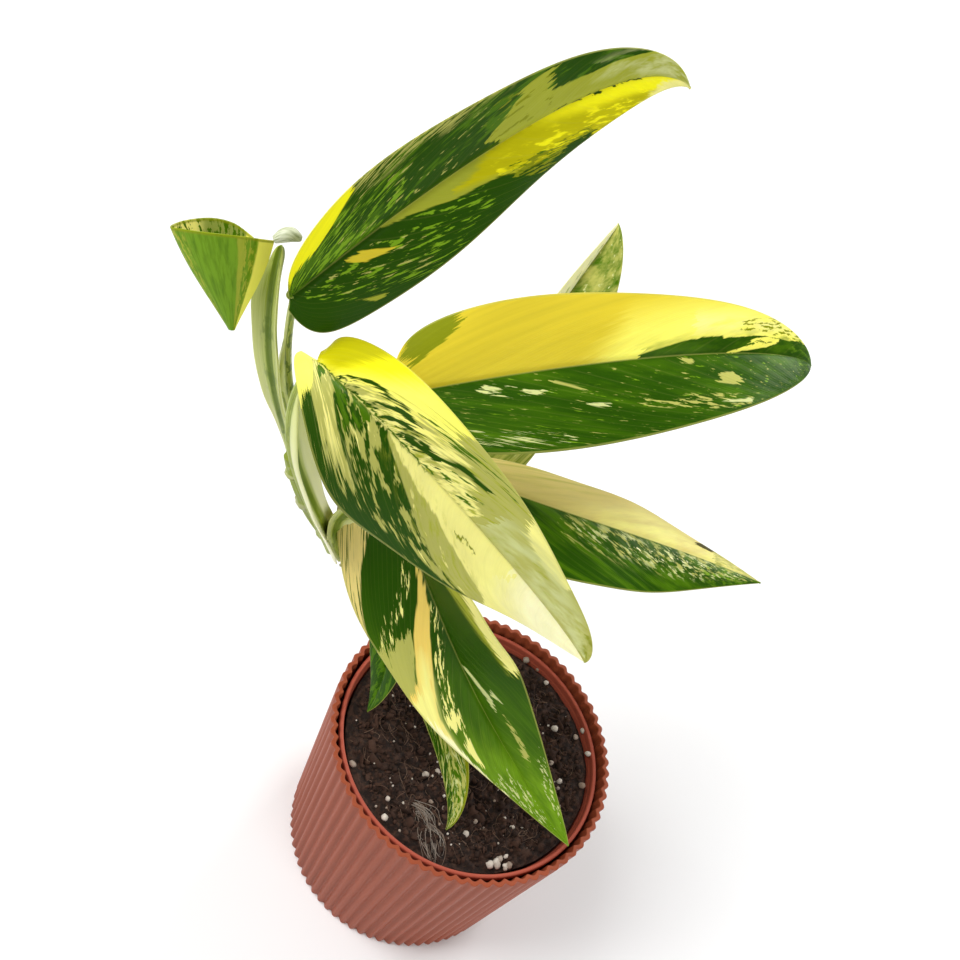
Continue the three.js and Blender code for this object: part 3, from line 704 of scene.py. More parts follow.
def blade_shell(leaf, look, grid):
    """A blade: its middle surface pleated between the side veins, sunk along the midrib and
    thinned to the margin, with the midrib's keel below. A pleat is a half sine between two
    veins, and the groove and the keel are bell curves of the distance from the midrib."""
    u = 0.5 - 0.5 * np.cos(np.pi * np.linspace(0.028, 0.99, grid[0] + 1))
    s = np.linspace(-1, 1, grid[1] + 1)
    v = np.sign(s) * np.abs(s) ** 1.5
    u, v = np.meshgrid(u, v, indexing="ij")
    points, normal, width = blade_surface(leaf, u, v, 0.3)
    a = np.abs(v)
    beside = a * width
    w = vein_place(leaf, u, a)
    pleat = np.abs(np.sin(np.pi * look.veins * (w + half_of((0, 0.5 / look.veins), v)))) ** 0.7
    span = smoothstep(0, 5, width) * smoothstep(0.02, 0.2, a) * (1 - smoothstep(0.75, 1, a))
    relief = look.relief * (pleat - 0.6) * span
    groove = look.groove * (1 - u) ** 0.4 * np.exp(-(beside / 1.1) ** 2) * smoothstep(0.5, 3, width)
    points = points + normal * (relief - groove)[..., None]
    thickness = look.margin + (look.thickness - look.margin) * (1 - a) ** 0.8
    keel = 1.3 * (1 - u) ** 1.3 * np.exp(-(beside / 1.4) ** 2) * smoothstep(0, 3, width)
    return sheet_shell(points, thickness, np.dstack([u, v]), keel)


def rolled_shell(leaf, look, grid):
    """The youngest blade, still rolled: straight lines run from the points of its open rim, a
    smooth path, to a small round tip, bowed outwards by a half sine."""
    u, turn = np.meshgrid(*(np.linspace(0, 1, steps + 1) for steps in grid), indexing="ij")
    rim, _ = spline(leaf["rim"], turn)
    middle = np.mean(leaf["rim"], axis=0)
    outward = rim - middle
    size = np.linalg.norm(outward, axis=-1, keepdims=True)
    share = u[..., None]
    reach = size * (1 - share) + leaf["tip_radius"] * share
    reach = reach * (1 + leaf["bulge"] * np.sin(np.pi * share))
    points = middle + share * (np.array(leaf["tip"]) - middle) + outward / size * reach
    thickness = look.margin + (look.thickness - look.margin) * np.sin(np.pi * u)
    return sheet_shell(points, thickness, np.dstack([u, turn]))


def rings_through(corners, steps):
    """Smooth closed rings through rows of corners: centripetal Catmull-Rom stretches, with the
    given number of steps between corners. corners holds points and their values alike."""
    near = [np.roll(corners, shift, axis=1)[:, :, None, :] for shift in (1, 0, -1, -2)]
    gaps = [
        np.sqrt(np.linalg.norm((after - before)[..., :3], axis=-1, keepdims=True) + 1e-6)
        for before, after in zip(near, near[1:])
    ]
    curve, _ = stretch(near, gaps, (np.arange(steps) / steps)[:, None])
    return curve.reshape(len(corners), -1, corners.shape[-1])


def petiole_shell(leaf, end, look, steps):
    """A petiole: a round back with a shallow channel and a thin wing on both sides of it, swept
    along a cubic curve. The wings open as a smooth step, close in a rounded lobe and wave a
    little, and the top closes as a quarter of an ellipse. The values are the place along it, the
    height over its middle and the wing's share."""
    u = np.linspace(0, 1, steps + 1)
    centre, tangent = bezier(leaf["start"], leaf["bend"], end, u)
    normal, side = ride_frame(tangent, leaf["open"])
    start, full, stop = leaf["wing_run"]
    cap_start, cap = 0.965, 0.035
    close = np.sqrt(np.clip(1 - ((u - cap_start) / cap).clip(0, 1) ** 2, 0.02, 1))
    r = (look.foot_radius + (look.top_radius - look.foot_radius) * u) * close
    opening = start + (1 - start) * smoothstep(0, full, u)
    spread = leaf["wing"] * opening * (1 - smoothstep(full, stop, u)) * (1 + 0.05 * np.sin(23 * u))
    curl = 0.5 * spread + 0.35 * np.sin(17 * u) * smoothstep(0, 3, spread)
    thin = 0.28 * close
    zero = 0 * r
    half = [
        (zero, -r, 0), (0.7 * r, -0.72 * r, 0), (r, -0.1 * r, 0.05),
        (r + 0.5 * spread, 0.1 * r + 0.3 * curl - thin, 0.6),
        (r + spread, 0.2 * r + curl - thin, 1),
        (r + 0.99 * spread, 0.2 * r + curl + thin, 1),
        (r + 0.5 * spread, 0.15 * r + 0.4 * curl + thin, 0.6),
        (0.75 * r, 0.42 * r, 0.1), (zero, 0.12 * r, 0),
    ]
    mirrored = [(-x, y, wing) for x, y, wing in half[-2:0:-1]]
    x, y, wing = (
        np.stack([np.broadcast_to(corner[k], r.shape) for corner in half + mirrored], axis=1)
        for k in range(3)
    )
    points = centre[:, None] - side[:, None] * x[..., None] + normal[:, None] * y[..., None]
    values = np.stack([np.broadcast_to(u[:, None], x.shape), y / look.foot_radius, wing], axis=-1)
    rings = rings_through(np.concatenate([points, values], axis=-1), 4)
    return tube_shell(rings[..., :3], rings[..., 3:])


def stem_shells(look):
    """The stem and its root stubs. The stem tapers evenly, swells as a bell curve at each node
    and has a thin scar ring on it; a stub is a crooked tapering tube."""
    u = np.linspace(0, 1, 400)
    centre, _ = spline(STEM["path"], u)
    reach = np.linalg.norm(np.diff(centre, axis=0), axis=1).sum()
    first, last = STEM["radius"]

    def radius(u, angle):
        swell = 0
        for at in STEM["nodes"]:
            away = (u - at) * reach + 0.5 * np.cos(angle + 40 * at)
            swell = swell + STEM["node_swell"] * np.exp(-(away / STEM["node_spread"]) ** 2)
            scar = 0.3 * np.exp(-((away - 1.1) / 0.35) ** 2)
            swell = swell + scar - 0.22 * np.exp(-((away - 0.3) / 0.4) ** 2)
        furrow = 0.06 * np.sin(11 * angle + 3 * np.sin(9 * u)) + 0.05 * np.sin(7 * angle + 25 * u)
        return first + (last - first) * u + swell + furrow - 0.15

    def stub_radius(u, angle):
        return (1.35 - 0.8 * u) * (1 + 0.08 * np.sin(3 * angle + 14 * u))

    shells = [tube(STEM["path"], radius, look.sides, look.steps)]
    for at, direction, size in AERIAL_ROOTS:
        foot, _ = spline(STEM["path"], np.array([at]))
        way = unit(np.array(direction, float))
        bend = 0.6 * np.cross(way, (0, 0, 1))
        path = (foot[0], foot[0] + way * size * 0.5 + bend, foot[0] + way * (size - 0.4))
        stub = tube(path, stub_radius, 20, 30)
        stub.place[:, 2] = 1
        shells.append(stub)
    return shells


def shoot_shell():
    """The next shoot: a short bud along an arched path, whose radius swells as part of a sine,
    with five low ridges along it."""
    foot, tip = np.array(SHOOT["foot"], float), np.array(SHOOT["tip"], float)
    middle = (foot + tip) / 2 + (0, 0, SHOOT["arch"])

    def radius(u, angle):
        bud = 0.3 + 0.68 * np.sin(np.pi * (0.08 + 0.86 * u))
        return SHOOT["radius"] * bud + 0.04 * np.sin(5 * angle)

    return tube((foot, middle, tip), radius, SHOOT_STEPS, SHOOT_STEPS)


def turned(profile, sides, shift=lambda angle: 0):
    """A surface of revolution round Z through (radius, height) points. shift is the change of
    the radius at each point of the profile and each angle."""
    angle = 2 * np.pi * np.arange(sides) / sides
    radius = profile[:, :1] + shift(angle)
    rings = np.stack(np.broadcast_arrays(radius * np.cos(angle), radius * np.sin(angle), profile[:, 1:]), -1)
    run = np.linspace(0, 1, len(profile))[:, None]
    place = np.stack(np.broadcast_arrays(run, angle / (2 * np.pi), profile[:, 1:]), -1)
    return tube_shell(rings, place)


def rounded_path(corners, ease, steps=6):
    """A (radius, height) path through corners, with each inner corner rounded by a parabola that
    starts and ends at the ease's distance from it."""
    corners = np.array(corners, float)
    path = [corners[:1]]
    t = np.linspace(0, 1, steps + 1)[:, None]
    for before, corner, after, size in zip(corners, corners[1:], corners[2:], ease):
        start = corner + unit(before - corner) * size
        stop = corner + unit(after - corner) * size
        path.append((1 - t) ** 2 * start + 2 * t * (1 - t) * corner + t ** 2 * stop)
    path.append(corners[-1:])
    return np.vstack(path)


def filled(path, widest):
    """The same path with more points, so that no step is longer than widest."""
    pieces = [path[:1]]
    for start, stop in zip(path, path[1:]):
        count = max(1, math.ceil(np.linalg.norm(stop - start) / widest))
        pieces.append(start + (stop - start) * (np.arange(1, count + 1) / count)[:, None])
    return np.vstack(pieces)


def cover_pot_shell(look):
    """The cover pot: a flared wall turned round Z, whose radius falls between the ribs as one
    less a rounded cosine of half the rib's angle, inside and outside alike."""
    def inside(z):
        flare = look.rim_radius - look.base_radius
        return look.base_radius + flare * z / look.height - look.wall

    corners = [
        (POLE_RADIUS, 0), (look.base_radius - look.wall, 0), (look.base_radius, 0),
        (look.rim_radius, look.height), (look.rim_radius - look.wall, look.height),
        (inside(look.floor), look.floor), (POLE_RADIUS, look.floor),
    ]
    path = filled(rounded_path(corners, (0.5, 0.8, 0.45, 0.45, 0.8)), COVER_POT_STEP)
    share = smoothstep(0.8, 1, path[:, :1] / (inside(path[:, 1:]) + look.wall))

    def ribs(angle):
        soft = 0.3
        wave = np.sqrt(np.cos(angle * look.ribs / 2) ** 2 + soft ** 2)
        wave = (wave - soft) / (math.hypot(1, soft) - soft)
        return -look.rib_depth * (1 - wave) * share

    return turned(path, look.ribs * STEPS_PER_RIB, ribs)


def grow_pot_shell(look):
    """The grow pot: a plain cup turned round Z, with a thick rounded rim and a foot ring."""
    bottom, foot, floor = look.floor + 0.35, look.floor + 3.35, 1.6
    top, rim = look.inner_rim_top, look.inner_rim_radius
    body, base, wall = look.inner_body_radius, look.inner_base_radius, look.inner_wall
    foot_ring, lip, lip_height = 3, 1.9, 3.6
    corners = [
        (POLE_RADIUS, foot), (base - foot_ring, foot), (base - foot_ring, bottom), (base, bottom),
        (body, top - 4.3), (rim, top - lip_height), (rim, top), (rim - lip, top),
        (rim - lip, top - lip_height), (body - wall, top - 4.6),
        (base - wall, foot + floor), (POLE_RADIUS, foot + floor),
    ]
    ease = (0.5, 0.5, 0.6, 0.6, 0.6, 0.9, 0.9, 0.9, 0.6, 0.8)
    return turned(filled(rounded_path(corners, ease), GROW_POT_STEP), GROW_POT_SIDES)


def soil_height(look, x, y):
    """Height of the soil: its level, which climbs evenly to the high side, three crossed waves of
    falling size and a low rise round the stem."""
    coarse = np.sin(0.19 * x + 0.4) * np.cos(0.23 * y - 0.8)
    middle = 0.6 * np.sin(0.47 * x + 0.31 * y + 1.3) * np.cos(0.41 * y - 0.27 * x)
    fine = 0.35 * np.sin(0.93 * x - 0.5 * y) * np.sin(0.88 * y + 0.6 * x + 0.7)
    rise = 1.2 * np.exp(-((x + 34) ** 2 + (y - 15) ** 2) / 12.6 ** 2)
    rise = rise + look.climb * (0.6 * x + 0.8 * y) / 58.9
    return look.level + look.lump * (coarse + middle + fine) + rise


def lattice_noise(x, y, seed):
    """Smooth noise between -1 and 1: random numbers on a unit lattice, joined by smooth steps."""
    table = np.random.default_rng(seed).uniform(-1, 1, (64, 64))
    i, j = np.floor(x).astype(int), np.floor(y).astype(int)
    s, t = smoothstep(0, 1, x - i), smoothstep(0, 1, y - j)
    near = table[i % 64, j % 64] * (1 - s) + table[(i + 1) % 64, j % 64] * s
    far = table[i % 64, (j + 1) % 64] * (1 - s) + table[(i + 1) % 64, (j + 1) % 64] * s
    return near * (1 - t) + far * t


def rough_height(look, x, y):
    """The soil's height with clods on it: four octaves of noise, each finer and lower."""
    height = soil_height(look, x, y)
    for octave in range(4):
        scale, clod = 0.22 * 2 ** octave, 0.75 / 1.5 ** octave
        height = height + clod * lattice_noise(x * scale + 40, y * scale + 40, 11 + octave)
    return height


def soil_shell(look, rings, sides):
    """The soil: its rough top, a side that follows the grow pot's wall and a flat underside."""
    floor, base_radius, top_radius = 8.7, 41, 56.6
    angle = 2 * np.pi * np.arange(sides) / sides
    radius = top_radius * np.sqrt(np.linspace(1, 0.0001, rings))[:, None]
    x, y = radius * np.cos(angle), radius * np.sin(angle)
    rim = smoothstep(0, 3, top_radius - radius)
    level = rough_height(look, x, y)
    z = look.level + (level - look.level) * (0.4 + 0.6 * rim) - 0.8 * (1 - rim)
    side = np.broadcast_arrays(base_radius * np.cos(angle), base_radius * np.sin(angle), floor)
    side = np.stack(side, -1)
    middle = side * (0.02, 0.02, 1)
    points = np.concatenate([middle[None], side[None], np.stack([x, y, z], -1)])
    return tube_shell(points, points * (1, 1, 0))


def lump_shape(steps):
    """A ball's points and faces as a small closed grid of rings between two poles."""
    lift = np.pi * (np.arange(1, steps) / steps)[:, None]
    angle = 2 * np.pi * np.arange(2 * steps) / (2 * steps)
    ring = np.broadcast_arrays(-np.sin(lift) * np.cos(angle), np.sin(lift) * np.sin(angle), -np.cos(lift))
    ball = tube_shell(np.stack(ring, -1), np.zeros((steps - 1, 2 * steps, 3)))
    ball.points[-2:] = ((0, 0, -1), (0, 0, 1))
    return ball


def repeated_faces(shape, count):
    """The faces of so many copies of a shape, whose points follow one another."""
    start = (np.arange(count) * len(shape.points))[:, None, None]
    return [(group[None] + start).reshape(-1, group.shape[1]) for group in shape.faces]


def scattered(shape, centres, sizes, rng, jag):
    """Copies of a shape at the centres: each turned at random by a unit quaternion, stretched to
    its three sizes and made uneven by jag. The values are three random tones for each copy."""
    count = len(centres)
    corners = shape.points[None] * (1 + jag * rng.standard_normal((count, len(shape.points), 1)))
    corners = corners * sizes[:, None, :]
    q = unit(rng.standard_normal((count, 4)))
    axis, real = q[:, None, :3], q[:, None, 3:]
    spin = 2 * np.cross(np.broadcast_to(axis, corners.shape), corners)
    corners = corners + real * spin + np.cross(np.broadcast_to(axis, corners.shape), spin)
    points = corners + centres[:, None, :]
    tone = np.broadcast_to(rng.uniform(0, 1, (count, 1, 3)), points.shape)
    return Shell(points, repeated_faces(shape, count), tone)


def on_soil(rng, count, widest=53):
    """Random places on the soil within a radius, even over its area."""
    radius = widest * np.sqrt(rng.uniform(0, 1, count))
    angle = rng.uniform(0, 2 * np.pi, count)
    return radius * np.cos(angle), radius * np.sin(angle)


def resting(look, x, y, lift):
    """Points that lie the lift above the soil's surface."""
    return np.stack([x, y, rough_height(look, x, y) + lift], axis=-1)


def crumb_shells(look):
    """Loose crumbs, uneven balls of random size, and flat oblong chips of bark."""
    rng = np.random.default_rng(5)
    crumbs = resting(look, *on_soil(rng, look.crumbs), rng.uniform(-0.2, 0.5, look.crumbs))
    size = rng.gamma(3.0, 0.22, (look.crumbs, 1)) * rng.uniform(0.6, 1.3, (look.crumbs, 3))
    bark = resting(look, *on_soil(rng, look.bark, 51), rng.uniform(0, 0.9, look.bark))
    chip = rng.uniform(0.7, 1.5, (look.bark, 1))
    chip = chip * rng.uniform((1.2, 0.8, 0.25), (3.2, 1.6, 0.7), (look.bark, 3))
    ball = lump_shape(4)
    return [scattered(ball, crumbs, size, rng, 0.2), scattered(ball, bark, chip, rng, 0.14)]


def perlite_shells(look):
    """Perlite as uneven balls: small grains all over, the large ones that stand out, and a clump."""
    rng = np.random.default_rng(8)
    small = resting(look, *on_soil(rng, look.perlite), 0.3)
    large = resting(look, *np.array(PERLITE_SEEN, float).T, 0.7)
    clump = np.array(PERLITE_CLUMP, float) + rng.normal(0, 1.7, (9, 2))
    clump = resting(look, *clump.T, 1.0)

    def spread(count, low, high):
        return rng.uniform(low, high, (count, 1)) * rng.uniform(0.8, 1.2, (count, 3))

    ball = lump_shape(5)
    return [
        scattered(ball, small, spread(look.perlite, 0.25, 0.7), rng, 0.09),
        scattered(ball, large, spread(len(large), 0.9, 1.6), rng, 0.08),
        scattered(ball, clump, spread(len(clump), 0.9, 1.9), rng, 0.1),
    ]


def strands(start, way, size, radius, rng, sides=4, steps=7):
    """Thin bent threads: each runs its size along its way, bows aside and up as a half sine,
    sways as a whole one and tapers evenly."""
    count = len(start)
    u = np.linspace(0, 1, steps + 1)[None, :, None]
    bow = rng.normal(0, 0.22, (count, 1, 3)) * size[:, None, None]
    bow[..., 2] = np.abs(bow[..., 2]) * 0.5
    centre = start[:, None] + way[:, None] * size[:, None, None] * u + bow * np.sin(np.pi * u)
    centre = centre + 0.35 * bow[:, :, [1, 2, 0]] * np.sin(2 * np.pi * u)
    tangent = unit(np.gradient(centre, axis=1))
    normal, side = ride_frame(tangent, (0.1, 0.2, 1))
    angle = 2 * np.pi * np.arange(sides) / sides
    thin = (radius[:, None, None] * (1 - 0.6 * u))[:, :, None, :]
    across, rise = (thin * wave(angle)[:, None] for wave in (np.cos, np.sin))
    points = centre[:, :, None] + (-side[:, :, None] * across + normal[:, :, None] * rise)
    one = tube_shell(points[0], np.zeros_like(points[0]))
    ends = points[:, [0, -1]].mean(axis=2)
    points = np.concatenate([points.reshape(count, -1, 3), ends], axis=1)
    tone = np.broadcast_to(rng.uniform(0, 1, (count, 1, 3)), points.shape)
    return Shell(points, repeated_faces(one, count), tone)


def fibre_shell(look):
    """Coco fibres: short strands that lie about on the soil in random directions."""
    rng = np.random.default_rng(21)
    start = resting(look, *on_soil(rng, look.fibres, 50), rng.uniform(0, 0.9, look.fibres))
    angle = rng.uniform(0, 2 * np.pi, look.fibres)
    way = np.stack([np.cos(angle), np.sin(angle), rng.uniform(-0.1, 0.2, look.fibres)], -1)
    return strands(start, way, rng.uniform(2, 9, look.fibres), rng.uniform(0.07, 0.2, look.fibres), rng)


def tuft_shell(look):
    """The dry root tuft: strands that run from its foot over its middle to its tip."""
    rng = np.random.default_rng(33)
    foot, middle, tip = (np.array(place, float) for place in ROOT_TUFT)
    count = 60
    early = np.arange(count) < count // 2
    begin = np.where(early[:, None], foot, middle) + rng.normal(0, 1.3, (count, 2))
    end = np.where(early[:, None], middle, tip) + rng.normal(0, 1.8, (count, 2))
    start = resting(look, *begin.T, 0.8)
    way = resting(look, *end.T, 0.9) - start
    size = np.linalg.norm(way, axis=1)
    return strands(start, unit(way), size, rng.uniform(0.1, 0.24, count), rng, 5, 12)


def layer(paint, low, high, cover=1.0, grain=(30, 5), soft=0.012, half=0):
    """One layer of a blade's colours: a paint's name, the two lines that it lies between, as
    (u, v) points that also bound it along the blade, the share of it that shows as streaks, how
    many streaks there are along and across a half, how soft its edges are, and the half of the
    blade that it keeps to: -1 left, 1 right, 0 both."""
    return {
        "paint": paint, "low": low, "high": high, "cover": cover, "grain": grain, "soft": soft,
        "half": half,
    }


# Lines beyond each margin, the midrib, and lines a little past the midrib, for a layer that its
# half cuts off there.
LEFT, RIGHT = ((0, -1.4), (1, -1.4)), ((0, 1.4), (1, 1.4))
MIDRIB = ((0, 0), (1, 0))
PAST_LEFT, PAST_RIGHT = ((0, 0.3), (1, 0.3)), ((0, -0.3), (1, -0.3))

# The pale patch round the shoulder of the centre blade's right half.
CENTRE_SHOULDER = (
    ((0.02, -0.3), (0.05, 0), (0.1, 0.13), (0.15, 0.4), (0.2, 0.55), (0.3, 0.7), (0.34, 0.75)),
    ((0.02, 0.3), (0.07, 0.5), (0.12, 0.68), (0.2, 0.77), (0.3, 0.74), (0.34, 0.76)),
)
